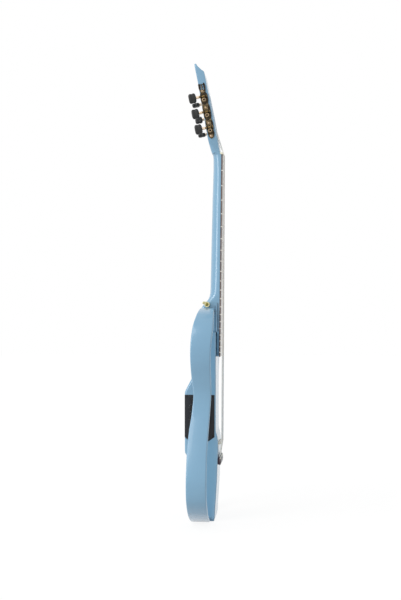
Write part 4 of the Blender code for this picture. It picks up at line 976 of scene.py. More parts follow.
def make_fingerboard():
    """Rosewood board with eased edges, and a crowned fret wire pressed in at each fret."""
    rings = []
    for z in (NUT_Z - GAP, BOARD_END_Z):
        half = board_half_width(z)
        low, high = paint_x(z) + GAP, glue_x(z) + BOARD_THICKNESS
        rings.append([at(low, -half, z), at(low, half, z), at(high, half, z), at(high, -half, z)])
    board = loft("rosewood_board", rings)
    soften(board, 0.0006, 3)
    smooth(board, 30.0)
    done(board, "root", "rosewood", ROSEWOOD, "fingerboard")
    crown = [(FRET_HEIGHT * math.sin(angle), 0.5 * FRET_WIDTH * math.cos(angle))
             for angle in arc(8, math.pi)]
    crown += [(-FRET_TANG, -0.40 * FRET_WIDTH), (-FRET_TANG, 0.40 * FRET_WIDTH)]
    wires = []
    for fret in range(1, FRETS + 1):
        z = NUT_Z - SCALE_LENGTH * (1.0 - 2.0 ** (-fret / 12.0))
        half = board_half_width(z) + 0.0001
        top = glue_x(z) + BOARD_THICKNESS - 0.0001
        ends = [(inset - half, size) for inset, size in FRET_END]
        ends += [(half - inset, size) for inset, size in reversed(FRET_END)]
        rings = []
        for y, size in ends:
            rings.append([at(top + (size if rise > 0.0 else 1.0) * rise, y, z + along)
                          for rise, along in crown])
        wires.append(loft("fret_%02d" % fret, rings))
    frets = join("fret_wires", wires)
    smooth(frets, 50.0)
    done(frets, "root", "jack_metal", FRET_METAL)


def string_place(string, spread):
    """Sideways place of a string: 1 is the highest, on the treble side."""
    return spread * (0.5 - (string - 1) / 5.0)


def make_nut():
    """Bone nut with a rounded back and a notch for each string."""
    foot = HEAD_FACE_X + GAP
    section = [(foot, NUT_Z), (NUT_TOP_X - 0.0003, NUT_Z), (NUT_TOP_X, NUT_Z + 0.0012)]
    for angle in arc(6):
        section.append((NUT_TOP_X - 0.0026 * (1.0 - math.cos(angle)),
                        NUT_Z + 0.0016 + (NUT_LENGTH - 0.0024) * math.sin(angle)))
    section.append((foot, NUT_Z + NUT_LENGTH - 0.0008))
    half = 0.5 * NUT_WIDTH
    nut = slab("bone_nut", [at(x, -half, z) for x, z in section], (0.0, 2.0 * half, 0.0))
    soften(nut, 0.0004, 3, 50.0)
    for string, diameter in STRING_DIAMETERS.items():
        y = string_place(string, STRING_SPREAD_AT_NUT)
        low = at(STRING_X_AT_NUT + 0.0002, y, NUT_Z - 0.002)
        high = at(STRING_X_AT_NUT - 0.0014, y, NUT_Z + 0.008)
        cut(nut, bar("notch", low, high, 0.5 * diameter + 0.0001, 12))
    smooth(nut, 40.0)
    done(nut, "root", "bone", BONE, "nut")


def roller_place(string):
    """Side and row of a string's tuner."""
    side = -1 if string > 3 else 1
    return side, (string - 1 if string <= 3 else 6 - string)


def make_strings():
    """Each string's run, its turns round the roller and its knot on the tie block."""
    high = TIE_BLOCK_Z + 0.5 * TIE_BLOCK_LENGTH
    low = TIE_BLOCK_Z - 0.5 * TIE_BLOCK_LENGTH
    for string, diameter in STRING_DIAMETERS.items():
        radius = 0.5 * diameter
        wound = string > 3
        slot = "silver_wire" if wound else "nylon"
        side, row = roller_place(string)
        y = string_place(string, STRING_SPREAD_AT_SADDLE)
        nut_y = string_place(string, STRING_SPREAD_AT_NUT)
        lane = STRING_IN_SLOT_Y[string]
        reach = ROLLER_RADIUS + radius
        roller_z = FIRST_ROLLER_Z + TUNER_PITCH * row
        touch_x = ROLLER_X + reach * math.cos(TOUCH_ANGLE)
        points = [
            at(0.0060, y, high - 0.0040),
            at(0.0066, y, high + GAP),
            at(STRING_X_AT_SADDLE - 0.0003, y, SADDLE_Z - 0.0008),
            at(STRING_X_AT_SADDLE, y, SADDLE_Z + 0.0004),
            at(STRING_X_AT_NUT, nut_y, NUT_Z + 0.0012),
            at(STRING_X_AT_NUT - 0.0005, nut_y, NUT_Z + 0.0030),
            on_head(touch_x, lane, roller_z - reach * math.sin(TOUCH_ANGLE)),
            on_head(ROLLER_X + reach, lane, roller_z),
        ]
        run = wire("string_%d_run" % string, points, radius, straight=True)
        smooth(run, 60.0)
        done(run, "root", slot, SILVER_WINDING if wound else NYLON, "string_%d" % string)
        way = side * (1.0 if abs(lane) < 0.5 * (SLOT_INNER_Y + SLOT_OUTER_Y) else -1.0)
        turns = []
        for k in range(WRAPS * WRAP_STEPS + 1):
            angle = TURN * k / WRAP_STEPS
            along = lane + way * 2.05 * radius * k / WRAP_STEPS
            turns.append(on_head(ROLLER_X + reach * math.cos(angle), along,
                                 roller_z + reach * math.sin(angle)))
        turns.append(on_head(ROLLER_X, along + way * radius, roller_z))
        top = TIE_BLOCK_TOP_X + 0.0009 + radius
        loop = [
            at(0.0060, y, low + 0.0050), at(0.0055, y, low - 0.0006), at(0.0072, y, low - 0.0022),
            at(top - 0.0008, y, low - 0.0004), at(top, y, low + 0.0034), at(top, y, high - 0.0036),
            at(top - 0.0014, y + 0.0012, high + 0.0006), at(0.0062, y + 0.0017, high + 0.0026),
            at(0.0048, y, high + 0.0030), at(0.0068, y - 0.0018, high + 0.0018),
            at(top - 0.0006, y - 0.0020, high - 0.0010), at(top + 0.0004, y - 0.0006, TIE_BLOCK_Z + 0.0020),
            at(top + 0.0002, y + 0.0022, TIE_BLOCK_Z - 0.0010), at(top - 0.0002, y + 0.0040, low + 0.0020),
        ]
        wraps = wire("string_%d_wraps" % string, turns, radius, resolution=3, sides=2)
        knot = wire("string_%d_knot" % string, loop, radius)
        for piece, body in ((wraps, "roller_%d" % string), (knot, "root")):
            smooth(piece, 60.0)
            done(piece, body, slot, STEEL if wound else NYLON)


# Centre body and bridge

def panel_outline(grow=0.0):
    """The control panel's outline, x and z, or the same grown for its recess."""
    back, front = PANEL_BACK_X - grow, PANEL_FRONT_X + grow
    top, foot = PANEL_TOP_Z + grow, PANEL_BOTTOM_Z - grow
    return [
        (back, top), (front, top), (front, PANEL_CORNER_Z), (PANEL_FRONT_X - PANEL_SLOPE, foot),
        (PANEL_BACK_X + PANEL_SLOPE, foot), (back, PANEL_CORNER_Z - 0.5 * grow),
    ]


def make_body():
    """Centre body with softened edges, panel recess, battery bay, saddle slot and peg sockets."""
    stations = []
    for angle in arc(5):
        stations.append((BODY_FOOT_ROUND * (1.0 - math.cos(angle)),
                         BODY_FOOT_ROUND * (1.0 - math.sin(angle))))
    for k in range(1, BODY_STEPS):
        stations.append((between(BODY_FOOT_ROUND, BODY_TOP_Z - BODY_TOP_ROUND, k / BODY_STEPS), 0.0))
    for angle in arc(3):
        stations.append((BODY_TOP_Z - BODY_TOP_ROUND * (1.0 - math.sin(angle)),
                         BODY_TOP_ROUND * (1.0 - math.cos(angle))))
    rings = []
    for z, inset in stations:
        reach = max(0.0, min(0.003, z, BODY_TOP_Z - z))
        front = eased(BODY_FRONT, max(z, 0.0025), reach) - 0.5 * inset
        back = eased(BODY_BACK, max(z, 0.0025), reach) + inset
        section = rounded_section(front, back, BODY_HALF_WIDTH - inset, z, 0.0022, 0.0060)
        rings.append([at(*point) for point in section])
    body = loft("centre_body", rings)
    recess = [at(x - (0.004 if x < -0.06 else 0.0), -0.060, z) for x, z in panel_outline(GAP)]
    cut(body, slab("recess", recess, (0.0, 0.060 - BODY_HALF_WIDTH + PANEL_THICKNESS + GAP, 0.0)))
    (back, foot), (front, top) = CAVITY
    cut(body, box("cavity", at(back, -0.060, foot), at(front, -0.0080, top)))
    floor_x = HUMP_BACK_X + DOOR_THICKNESS + GAP
    cut(body, box("door_recess", at(-0.080, DOOR_LOW[0] - GAP, DOOR_LOW[1] - GAP),
                  at(floor_x, DOOR_HIGH[0] + GAP, DOOR_HIGH[1] + GAP)))
    bay_top = CELL_BOTTOM_Z + CELL_LENGTH + 0.0035
    cut(body, box("battery_bay", at(-0.080, DOOR_LOW[0] + 0.003, CELL_BOTTOM_Z - 0.003),
                  at(CELL_X + CELL_RADIUS + 0.001, DOOR_HIGH[0] - 0.003, bay_top)))
    half_slot = 0.5 * SADDLE_THICKNESS + GAP
    half_length = 0.5 * SADDLE_LENGTH + GAP
    cut(body, box("saddle_slot", at(SADDLE_SLOT_FLOOR_X, -half_length, SADDLE_Z - half_slot),
                  at(0.020, half_length, SADDLE_Z + half_slot)))
    for side in (-1, 1):
        x, z = LOWER_PEG_AT
        cut(body, bar("peg_socket", at(x, side * (BODY_HALF_WIDTH - PEG_LENGTH - GAP), z),
                      at(x, side * 0.060, z), LOWER_PEG_RADIUS + GAP))
    smooth(body, 30.0)
    apply(body, "WEIGHTED_NORMAL", keep_sharp=True)
    done(body, "root", "blue_paint", LACQUER, "body_core")


def make_bridge():
    """Bone saddle with a rounded top, and the drilled tie block with a bone strip along its upper edge."""
    half = 0.5 * SADDLE_LENGTH
    thin = 0.5 * SADDLE_THICKNESS
    foot = SADDLE_SLOT_FLOOR_X + 2 * GAP + 0.0011
    top = STRING_X_AT_SADDLE - 0.0006
    section = [(foot, SADDLE_Z - thin)]
    for k in range(9):
        angle = math.pi * (k / 8.0 - 0.5)
        section.append((top - thin + thin * math.cos(angle), SADDLE_Z + thin * math.sin(angle)))
    section.append((foot, SADDLE_Z + thin))
    saddle = slab("bone_saddle", [at(x, -half, z) for x, z in section], (0.0, 2.0 * half, 0.0))
    soften(saddle, 0.0003, 2, 60.0)
    smooth(saddle, 40.0)
    done(saddle, "root", "bone", BONE, "saddle")
    half = 0.5 * TIE_BLOCK_WIDTH
    low, high = TIE_BLOCK_Z - 0.5 * TIE_BLOCK_LENGTH, TIE_BLOCK_Z + 0.5 * TIE_BLOCK_LENGTH
    raised_x, groove_x = TIE_BLOCK_TOP_X + 0.0004, TIE_BLOCK_TOP_X - 0.0009
    section = [(table(BODY_FRONT, low) + GAP, low), (raised_x, low), (raised_x, low + 0.0034),
               (groove_x, low + 0.0040), (groove_x, high), (table(BODY_FRONT, high) + GAP, high)]
    block = slab("tie_block_wood", [at(x, -half, z) for x, z in section], (0.0, 2.0 * half, 0.0))
    soften(block, 0.0005, 3)
    for string in STRING_DIAMETERS:
        y = string_place(string, STRING_SPREAD_AT_SADDLE)
        cut(block, bar("string_hole", at(0.0052, y, low - 0.001), at(0.0066, y, high + 0.001), 0.0009, 12))
    smooth(block, 30.0)
    done(block, "root", "rosewood", ROSEWOOD_ACROSS, "tie_block")
    strip = box("tie_block_strip", at(TIE_BLOCK_TOP_X - 0.0012, -half + 0.0006, high - 0.0032),
                at(TIE_BLOCK_TOP_X + 0.0007, half - 0.0006, high - 0.0004))
    soften(strip, 0.0005, 3)
    smooth(strip, 40.0)
    done(strip, "root", "bone", BONE)


# Side frames

def band_rings():
    """Sections of the bass-side band, with nearly round edges, along its smooth outline."""
    stations = smooth_path(BAND_PATH, 7)
    rings = []
    for k, (y, z, back, front) in enumerate(stations):
        before = stations[max(k - 1, 0)]
        after = stations[min(k + 1, len(stations) - 1)]
        along = Vector((0.0, after[0] - before[0], after[1] - before[1])).normalized()
        if k == 0:
            along = Vector((0.0, 1.0, 0.0))
        if k == len(stations) - 1:
            along = Vector((0.0, -1.0, 0.0))
        inward = Vector((0.0, along.z, -along.y))
        outer = Vector((0.0, y, z))
        ring = []
        for x, deep, first in ((front, BAND_THICKNESS, 0.0), (back, BAND_THICKNESS, 0.25), (back, 0.0, 0.5),
                               (front, 0.0, 0.75)):
            middle_x = x - math.copysign(BAND_EDGE_RADIUS, x - 0.5 * (front + back))
            middle_deep = deep - math.copysign(BAND_EDGE_RADIUS, deep - 0.5 * BAND_THICKNESS)
            for step in range(6):
                angle = TURN * (first + 0.05 * step)
                point = outer + (middle_deep + BAND_EDGE_RADIUS * math.sin(angle)) * inward
                ring.append(at(middle_x + BAND_EDGE_RADIUS * math.cos(angle), -point.y, point.z))
        rings.append(ring)
    return rings


def make_frames():
    """Both bent bands and the steel pegs that carry them."""
    bass = loft("bass_band", band_rings())
    smooth(bass, 40.0)
    treble = twin(bass, "treble_band", MIRROR)
    pegs = []
    groove = 0.55 * PEG_LENGTH
    end = PEG_LENGTH + PEG_IN_BAND
    for wall, (x, z), radius in ((HEEL_HALF_WIDTH, UPPER_PEG_AT, UPPER_PEG_RADIUS),
                                 (BODY_HALF_WIDTH, LOWER_PEG_AT, LOWER_PEG_RADIUS)):
        tip = at(x, -(wall - PEG_LENGTH), z)
        profile = ((0.0, 0.0), (0.0, 0.6 * radius), (0.0006, 0.9 * radius), (0.0014, radius),
                   (groove, radius), (groove + 0.0004, 0.88 * radius), (groove + 0.0014, 0.88 * radius),
                   (groove + 0.0018, radius), (end, radius), (end, 0.0))
        pegs.append(turned("peg", profile, tip, TO_BASS_SIDE, 32))
    pegs = join("bass_band_pegs", pegs)
    smooth(pegs, 40.0)
    done(twin(pegs, "treble_band_pegs", MIRROR), "root", "steel", STEEL)
    done(pegs, "bass_frame", "steel", STEEL)
    done(bass, "bass_frame", "blue_paint", LACQUER, "frame_bass")
    done(treble, "root", "blue_paint", LACQUER, "frame_treble")


def ribbed(name, centre, axis, sections, ribs, depth):
    """A grip with ribs round it, from (distance along the axis, radius, rib share) rows."""
    axis = Vector(axis).normalized()
    side = axis.orthogonal().normalized()
    across = axis.cross(side)
    rings = []
    for along, radius, share in sections:
        ring = []
        for k, angle in enumerate(circle(4 * ribs)):
            size = radius - depth * share * (1.0 if k % 4 in (2, 3) else 0.0)
            spoke = math.cos(angle) * side + math.sin(angle) * across
            ring.append(Vector(centre) + along * axis + size * spoke)
        rings.append(ring)
    return loft(name, rings)


def make_thumb_screws():
    """Two knurled brass screws in the heel that lock the frames' upper pegs."""
    x, y, z = THUMB_SCREW_FOOT
    end = -THUMB_SCREW_SHANK
    profile = ((end, 0.0), (end, 0.0017), (end + 0.0005, 0.0020), (0.0006, 0.0020), (0.0006, 0.0))
    for side, name in ((-1, "bass"), (1, "treble")):
        head = ribbed("head", at(x, side * y, z), THUMB_SCREW_AXIS, THUMB_SCREW_HEAD, 14, 0.0004)
        soften(head, 0.0001, 1, 50.0)
        shank = on_screw_axis(side, profile, "shank")
        screw = join("thumb_screw_" + name, [head, shank])
        smooth(screw, 35.0)
        done(screw, "root", "brass", BRASS, "frame_screw_" + name)


def cross_head(centre, axis, radius, name):
    """A domed screw head with a cross recess."""
    dome = [(0.35 * radius * math.sin(angle), radius * math.cos(angle)) for angle in arc(6)]
    head = turned(name, [(-0.0006, 0.0), (-0.0006, radius)] + dome, centre, axis, 32)
    axis = Vector(axis).normalized()
    side = axis.orthogonal().normalized()
    across = axis.cross(side)
    for first, second in ((side, across), (across, side)):
        points = []
        for u, v in ((-0.6, -0.11), (0.6, -0.11), (0.6, 0.11), (-0.6, 0.11)):
            points.append(Vector(centre) + radius * (u * first + v * second + 0.12 * axis))
        cut(head, slab("recess", points, radius * axis))
    return head


def make_strap_buttons():
    """Turned brass buttons on the heel's bass side and on the back near the tail, each with its screw."""
    profile = [(0.0, 0.0)] + smooth_path(STRAP_BUTTON_PROFILE, 4)
    profile += [(0.0134, 0.0036), (0.0126, 0.0034), (0.0126, 0.0)]
    x, z = HEEL_STRAP_AT
    tail_x = table(BODY_BACK, TAIL_STRAP_Z) - 2 * GAP
    for name, centre, axis in (("heel_strap", at(x, -HEEL_HALF_WIDTH - GAP, z), TO_BASS_SIDE),
                               ("tail_strap", at(tail_x, 0.0, TAIL_STRAP_Z), (-1.0, 0.0, 0.0))):
        button = turned(name, profile, centre, axis, 64)
        smooth(button, 35.0)
        done(button, "root", "brass", BRASS, name + "_button")
        screw = cross_head(centre + 0.0128 * Vector(axis), axis, 0.0030, name + "_screw")
        smooth(screw, 35.0)
        done(screw, "root", "brass", DARK_BRASS)


# Controls

def make_panel():
    """Black side panel with its holes, corner screws and plain index marks round the knobs."""
    points = [at(x, -BODY_HALF_WIDTH, z) for x, z in panel_outline()]
    panel = slab("side_panel", points, (0.0, PANEL_THICKNESS, 0.0))
    soften(panel, 0.0005, 3)
    outside, inside = -0.060, -0.040
    for x, z in KNOBS.values():
        cut(panel, bar("hole", at(x, outside, z), at(x, inside, z), KNOB_HOLE_RADIUS))
    x, z = POWER_BUTTON_AT
    cut(panel, bar("hole", at(x, outside, z), at(x, inside, z), POWER_HOLE_RADIUS, 40))
    x, z = EFFECT_SWITCH_AT
    half_long, half_high = SWITCH_SLOT_HALF
    cut(panel, box("hole", at(x - half_long, outside, z - half_high),
                   at(x + half_long, inside, z + half_high)))
    for x, z, _, rim in JACKS.values():
        cut(panel, bar("hole", at(x, outside, z), at(x, inside, z), rim - 0.0008, 40))
    smooth(panel, 30.0)
    done(panel, "root", "panel_plastic", PANEL_BLACK, "control_panel")
    marks = []
    for x, z in KNOBS.values():
        for k in range(11):
            angle = math.radians(-140.0 + 28.0 * k)
            middle = at(x + MARK_CIRCLE * math.sin(angle), -BODY_HALF_WIDTH - 0.00005,
                        z + MARK_CIRCLE * math.cos(angle))
            size = 0.00045 if k in (0, 5, 10) else 0.0003
            dot = ((0.0, 0.0), (0.0, size), (0.0002, size), (0.0002, 0.0))
            marks.append(turned("mark", dot, middle, TO_TREBLE_SIDE, 10))
    marks = join("index_marks", marks)
    done(marks, "root", "white_plastic", MARK_WHITE)
    screws = []
    for x, z in PANEL_SCREWS:
        screws.append(cross_head(at(x, -BODY_HALF_WIDTH - 0.0001, z), TO_BASS_SIDE, 0.0016, "screw"))
    screws = join("panel_screws", screws)
    smooth(screws, 35.0)
    done(screws, "root", "steel", DARK_STEEL)


def make_knobs():
    """Ribbed knobs with a pointer line, each on its shaft."""
    for name, (x, z) in KNOBS.items():
        centre = at(x, -BODY_HALF_WIDTH, z)
        grip = ribbed("grip", centre, TO_BASS_SIDE, KNOB_SECTIONS, 24, 0.0005)
        shaft = bar("shaft", centre + Vector((0.0, 0.0130, 0.0)), centre - Vector((0.0, 0.0010, 0.0)),
                    KNOB_SHAFT_RADIUS)
        knob = join(name + "_control", [grip, shaft])
        smooth(knob, 35.0)
        done(knob, name, "black_plastic", KNOB_BLACK, name + "_knob")
        line = box(name + "_pointer", centre + Vector((-0.0004, -KNOB_HEIGHT, 0.0022)),
                   centre + Vector((0.0004, 0.0014 - KNOB_HEIGHT, 0.0059)))
        soften(line, 0.0001, 2)
        smooth(line)
        done(line, name, "white_plastic", MARK_WHITE)


def make_push_and_slide():
    """The power button and the effect switch."""
    x, z = POWER_BUTTON_AT
    push = turned("power_push", POWER_BUTTON_PROFILE, at(x, -BODY_HALF_WIDTH, z), TO_BASS_SIDE, 48)
    smooth(push, 40.0)
    done(push, "power", "black_plastic", KNOB_BLACK, "power_button")
    x, z = EFFECT_SWITCH_AT
    centre = at(x + 0.0015, -BODY_HALF_WIDTH, z)
    parts = [box("plate", centre + Vector((-0.0060, 0.0036, -0.0035)),
                 centre + Vector((0.0030, 0.0072, 0.0035)))]
    for k, lower in enumerate((0, 1, 1, 0)):
        low = centre + Vector((-0.0040 + 0.00127 * k, -0.0026 + 0.0004 * lower, -0.0016))
        rib = box("rib", low, low + Vector((0.0012, 0.0066, 0.0032)))
        soften(rib, 0.0003, 2)
        parts.append(rib)
    lever = join("effect_lever", parts)
    smooth(lever, 35.0)
    done(lever, "effect_select", "black_plastic", KNOB_BLACK, "effect_switch")


def make_jacks():
    """Sockets with a grooved rim, a dark bore and a barrel behind the panel."""
    behind = PANEL_THICKNESS + 0.0003
    for name, (x, z, bore, rim) in JACKS.items():
        length = 0.0200 if rim > 0.005 else 0.0130
        neck = rim - 0.0008 - GAP
        barrel = rim + 0.0004
        profile = ((length - 0.0030, 0.0), (length - 0.0030, bore), (-0.0004, bore),
                   (-0.0010, bore + 0.0004), (-0.0012, bore + 0.0007), (-0.0012, rim - 0.0009),
                   (-0.0010, rim - 0.0004),
                   (-0.0003, rim), (-0.0003, neck), (behind, neck), (behind, barrel), (length, barrel),
                   (length, 0.0))
        jack = turned(name + "_socket", profile, at(x, -BODY_HALF_WIDTH, z), TO_TREBLE_SIDE, 48)
        smooth(jack, 30.0)
        done(jack, "root", "jack_metal", STEEL, name)


def make_battery():
    """Two cells and the door with its grip ridges."""
    shoulder = CELL_LENGTH - 0.0012
    profile = ((0.0, 0.0), (0.0, 0.90 * CELL_RADIUS), (0.0006, 0.98 * CELL_RADIUS), (0.0012, CELL_RADIUS),
               (shoulder - 0.0014, CELL_RADIUS), (shoulder - 0.0006, 0.97 * CELL_RADIUS),
               (shoulder, 0.88 * CELL_RADIUS), (shoulder, 0.0027), (CELL_LENGTH - 0.0003, 0.0026),
               (CELL_LENGTH, 0.0022), (CELL_LENGTH, 0.0))
    for number, y in enumerate(CELLS_Y, 1):
        cell = turned("cell_%d" % number, profile, at(CELL_X, y, CELL_BOTTOM_Z), (0.0, 0.0, 1.0), 48)
        smooth(cell, 35.0)
        done(cell, "root", "cell_jacket", CELL_JACKET, "battery_cell_%d" % number)
    door = box("bay_door", at(HUMP_BACK_X, DOOR_LOW[0], DOOR_LOW[1]),
               at(HUMP_BACK_X + DOOR_THICKNESS, DOOR_HIGH[0], DOOR_HIGH[1]))
    soften(door, 0.0004, 3)
    groove_x = HUMP_BACK_X - 0.0002
    for k in range(7):
        z = DOOR_HIGH[1] - 0.006 - 0.0016 * k
        cut(door, bar("groove", at(groove_x, 0.012, z), at(groove_x, 0.028, z), 0.0006, 12))
    smooth(door, 35.0)
    done(door, "battery_cover", "panel_plastic", PANEL_BLACK, "battery_door")


# Tuners

# A tuner plate is modelled with its foot at z = 0 and its outer face towards the bass side.

def lyre_points():
    """The smooth edge of a tuner plate: waved sides, a rounded foot and two horns round an open top."""
    back_half = [(-LYRE_BACK_SHARE * x, z) for x, z in reversed(LYRE_HALF[1:])]
    whole = list(LYRE_HALF) + [(0.0, LYRE_CROTCH_Z)] + back_half
    return smooth_path(whole + [whole[0]], 3)[:-1]


def raised(points, radius, closed=False):
    """A round gilt wire lying on a plate's face along these (x, z) points."""
    face = -PLATE_OUTER_Y - 0.0002
    places = [(x, face, z) for x, z in points]
    return wire("raised_wire", places, radius, resolution=3, sides=2, closed=closed)


def hoop(x, z, size, radius):
    """A raised ring on a plate's face."""
    points = [(x + size * math.cos(angle), z + size * math.sin(angle)) for angle in circle(12)]
    return raised(points, radius, closed=True)


def scroll(x, z, size, way, up):
    """A raised spiral on a plate's face, from its eye outwards."""
    points = []
    for k in range(15):
        angle = 0.75 * math.pi * k / 4.0
        radius = size * (0.18 + 0.82 * k / 14.0)
        points.append((x + way * radius * math.cos(angle), z + up * radius * math.sin(angle)))
    return raised(points, 0.17 * size)


def boss(x, z, radius, height):
    """A low raised dome on a plate's face."""
    profile = [(-0.0006, 0.0), (-0.0006, radius)]
    profile += [(height * math.sin(a), radius * math.cos(a)) for a in (0.0, 0.4, 0.8, 1.2)] + [(height, 0.0)]
    return turned("boss", profile, (x, -PLATE_OUTER_Y, z), TO_BASS_SIDE, 24)


def plate_screw(z, radius, out=0.0006):
    """A screw on a plate's middle line."""
    return cross_head((0.0, -PLATE_OUTER_Y - out, z), TO_BASS_SIDE, radius, "screw")


def make_lug(end):
    """One rounded lug that carries a worm's shaft, level with the worm at z = 0."""
    near = end * LUG_NEAR
    rings = []
    for x, grow in ((near, -LUG_EDGE), (near + end * LUG_EDGE, 0.0),
                    (near + end * (LUG_THICKNESS - LUG_EDGE), 0.0), (near + end * LUG_THICKNESS, -LUG_EDGE)):
        ring = [Vector((x, 0.0006 - PLATE_OUTER_Y, z * (1.0 + 60.0 * grow)))
                for z in (-LUG_FOOT_HALF, LUG_FOOT_HALF)]
        for angle in arc(12, math.pi):
            radius = LUG_RADIUS + grow
            ring.append(Vector((x, -WORM_Y - radius * math.sin(angle), radius * math.cos(angle))))
        rings.append(ring)
    return loft("lug", rings)


def make_motif():
    """The ornament between two rollers, round z = 0: a boss in a hoop, four scrolls and four sprigs."""
    motif = [boss(0.0, 0.0, 0.0038, 0.0007), hoop(0.0, 0.0, 0.0045, 0.00055)]
    for way in (-1, 1):
        for up in (-1, 1):
            sprig = [(way * 0.0012, up * 0.0048), (way * 0.0028, up * 0.0078), (way * 0.0062, up * 0.0088)]
            motif.append(scroll(way * 0.0046, up * 0.0066, 0.0027, way, -up))
            motif.append(raised(sprig, 0.00036))
    return join("motif", motif)


def make_beads():
    """Small beads round a gear, left out where the worm crosses."""
    beads = []
    for angle in circle(20):
        x, z = BEAD_CIRCLE * math.cos(angle), BEAD_CIRCLE * math.sin(angle)
        if abs(z - WORM_OFFSET) > 0.0038:
            beads.append(turned("bead", BEAD_PROFILE, (x, -PLATE_OUTER_Y, z), TO_BASS_SIDE, 8))
    return join("beads", beads)


def make_plates():
    """Dark lyre plates with lugs for the worms, under raised gilt scrolls, hoops, beads and screws."""
    edge = lyre_points()
    plate = slab("plate", [(x, -PLATE_INNER_Y, z) for x, z in edge], (0.0, -PLATE_THICKNESS, 0.0))
    soften(plate, 0.0002, 2, 50.0)
    tips = [scroll(way * reach, 0.1232, 0.0024, -way, 1.0) for way, reach in ((-1, 0.0058), (1, 0.0066))]
    horns = join("horn_tips", [plate] + tips)
    lugs = join("lugs", [make_lug(-1), make_lug(1)])
    grounds = [horns, raised([(0.90 * x, 0.0006 + 0.99 * z) for x, z in edge[::2]], 0.00042, closed=True)]
    gilt = [hoop(0.0, 0.0061, 0.0042, 0.0006)]
    bright = [plate_screw(0.0058, 0.0030, 0.0002)]
    motif = make_motif()
    for z in (TUNER_PITCH, 2 * TUNER_PITCH):
        gilt.append(twin(motif, "motif_copy", Matrix.Translation((0.0, 0.0, z))))
        bright.append(plate_screw(z, 0.0021))
    beads = make_beads()
    for row in range(3):
        roller_z = FIRST_ROLLER_Z + TUNER_PITCH * row - PLATE_BOTTOM_Z
        gilt.append(twin(beads, "bead_copy", Matrix.Translation((0.0, 0.0, roller_z))))
        grounds.append(twin(lugs, "lug_copy", Matrix.Translation((0.0, 0.0, roller_z + WORM_OFFSET))))
    for pattern in (motif, beads, lugs):
        bpy.data.objects.remove(pattern)
    gilt += [hoop(0.0, CROWN_RING_Z, 0.0036, 0.0006), boss(0.0, CROWN_RING_Z, 0.0030, 0.0008)]
    bright.append(plate_screw(CROWN_RING_Z, 0.0019))
    gilt.append(bar("stem", (0.0, -PLATE_OUTER_Y, 0.1110), (0.0, -PLATE_OUTER_Y, 0.1238), 0.0008, 12))
    grounds.append(raised(CROSSBAR, 0.0009))
    grounds += [scroll(way * 0.0026, 0.1180, 0.0017, way, -1.0) for way in (-1, 1)]
    place = HEAD_PLACE @ Matrix.Translation((ROLLER_X, 0.0, PLATE_BOTTOM_Z))
    for name, parts, paint, *nodes in (
            ("tuner_plate", grounds, OLD_GOLD, "tuner_plate_treble", "tuner_plate_bass"),
            ("tuner_ornaments", gilt, AGED_GILT),
            ("tuner_plate_screws", bright, WORN_GILT)):
        piece = join(name + "_bass_side", parts)
        piece.data.transform(place)
        smooth(piece, 35.0)
        done(twin(piece, name + "_treble_side", MIRROR), "root", "old_gold", paint, *nodes[:1])
        done(piece, "root", "old_gold", paint, *nodes[1:])


def gear_ring(along, inset=0.0):
    """Points round a toothed wheel, one tooth towards the worm."""
    step = TURN / GEAR_TEETH
    ring = []
    for tooth in range(GEAR_TEETH):
        for share, radius in TOOTH:
            angle = step * (tooth + share)
            size = radius - inset
            ring.append(Vector((size * math.sin(angle), along, size * math.cos(angle))))
    return ring


def roller_patterns():
    """A bass-side roller's barrel, gear, hub and hub screw, with the roller's axis through the origin."""
    gear_low = -(WORM_Y - 0.5 * GEAR_WIDTH)
    gear_high = -(WORM_Y + 0.5 * GEAR_WIDTH)
    barrel_end = -(PLATE_INNER_Y - 0.0009)
    length = -barrel_end - ROLLER_INNER_Y
    profile = ((0.0, 0.0), (0.0, 0.85 * ROLLER_RADIUS), (0.0005, ROLLER_RADIUS), (0.0327, ROLLER_RADIUS),
               (length, 0.9 * ROLLER_RADIUS), (length, 0.0))
    barrel = turned("barrel", profile, (0.0, -ROLLER_INNER_Y, 0.0), TO_BASS_SIDE, 40)
    cut(barrel, bar("string_hole", (0.0, STRING_HOLE_Y, -0.010), (0.0, STRING_HOLE_Y, 0.010),
                    STRING_HOLE_RADIUS, 16))
    smooth(barrel, 35.0)
    gear = loft("gear", [gear_ring(gear_low, GEAR_EDGE), gear_ring(gear_low - 0.0002),
                         gear_ring(gear_high + 0.0002), gear_ring(gear_high, GEAR_EDGE)])
    cut(gear, bar("hub_hole", (0.0, gear_low + 0.001, 0.0), (0.0, gear_high - 0.001, 0.0),
                  HUB_RADIUS - GAP, 32))
    stem = bar("stem", (0.0, barrel_end + 0.001, 0.0), (0.0, gear_low - 0.0003, 0.0), 0.0025)
    hub = turned("hub", HUB_PROFILE, (0.0, gear_high, 0.0), TO_BASS_SIDE, 32)
    smooth(hub, 35.0)
    gear = join("gear", [gear, stem])
    smooth(gear, 35.0)
    screw = cross_head((0.0, gear_high + 0.0010, 0.0), TO_BASS_SIDE, 0.0019, "gear_screw")
    smooth(screw, 35.0)
    return barrel, gear, hub, screw


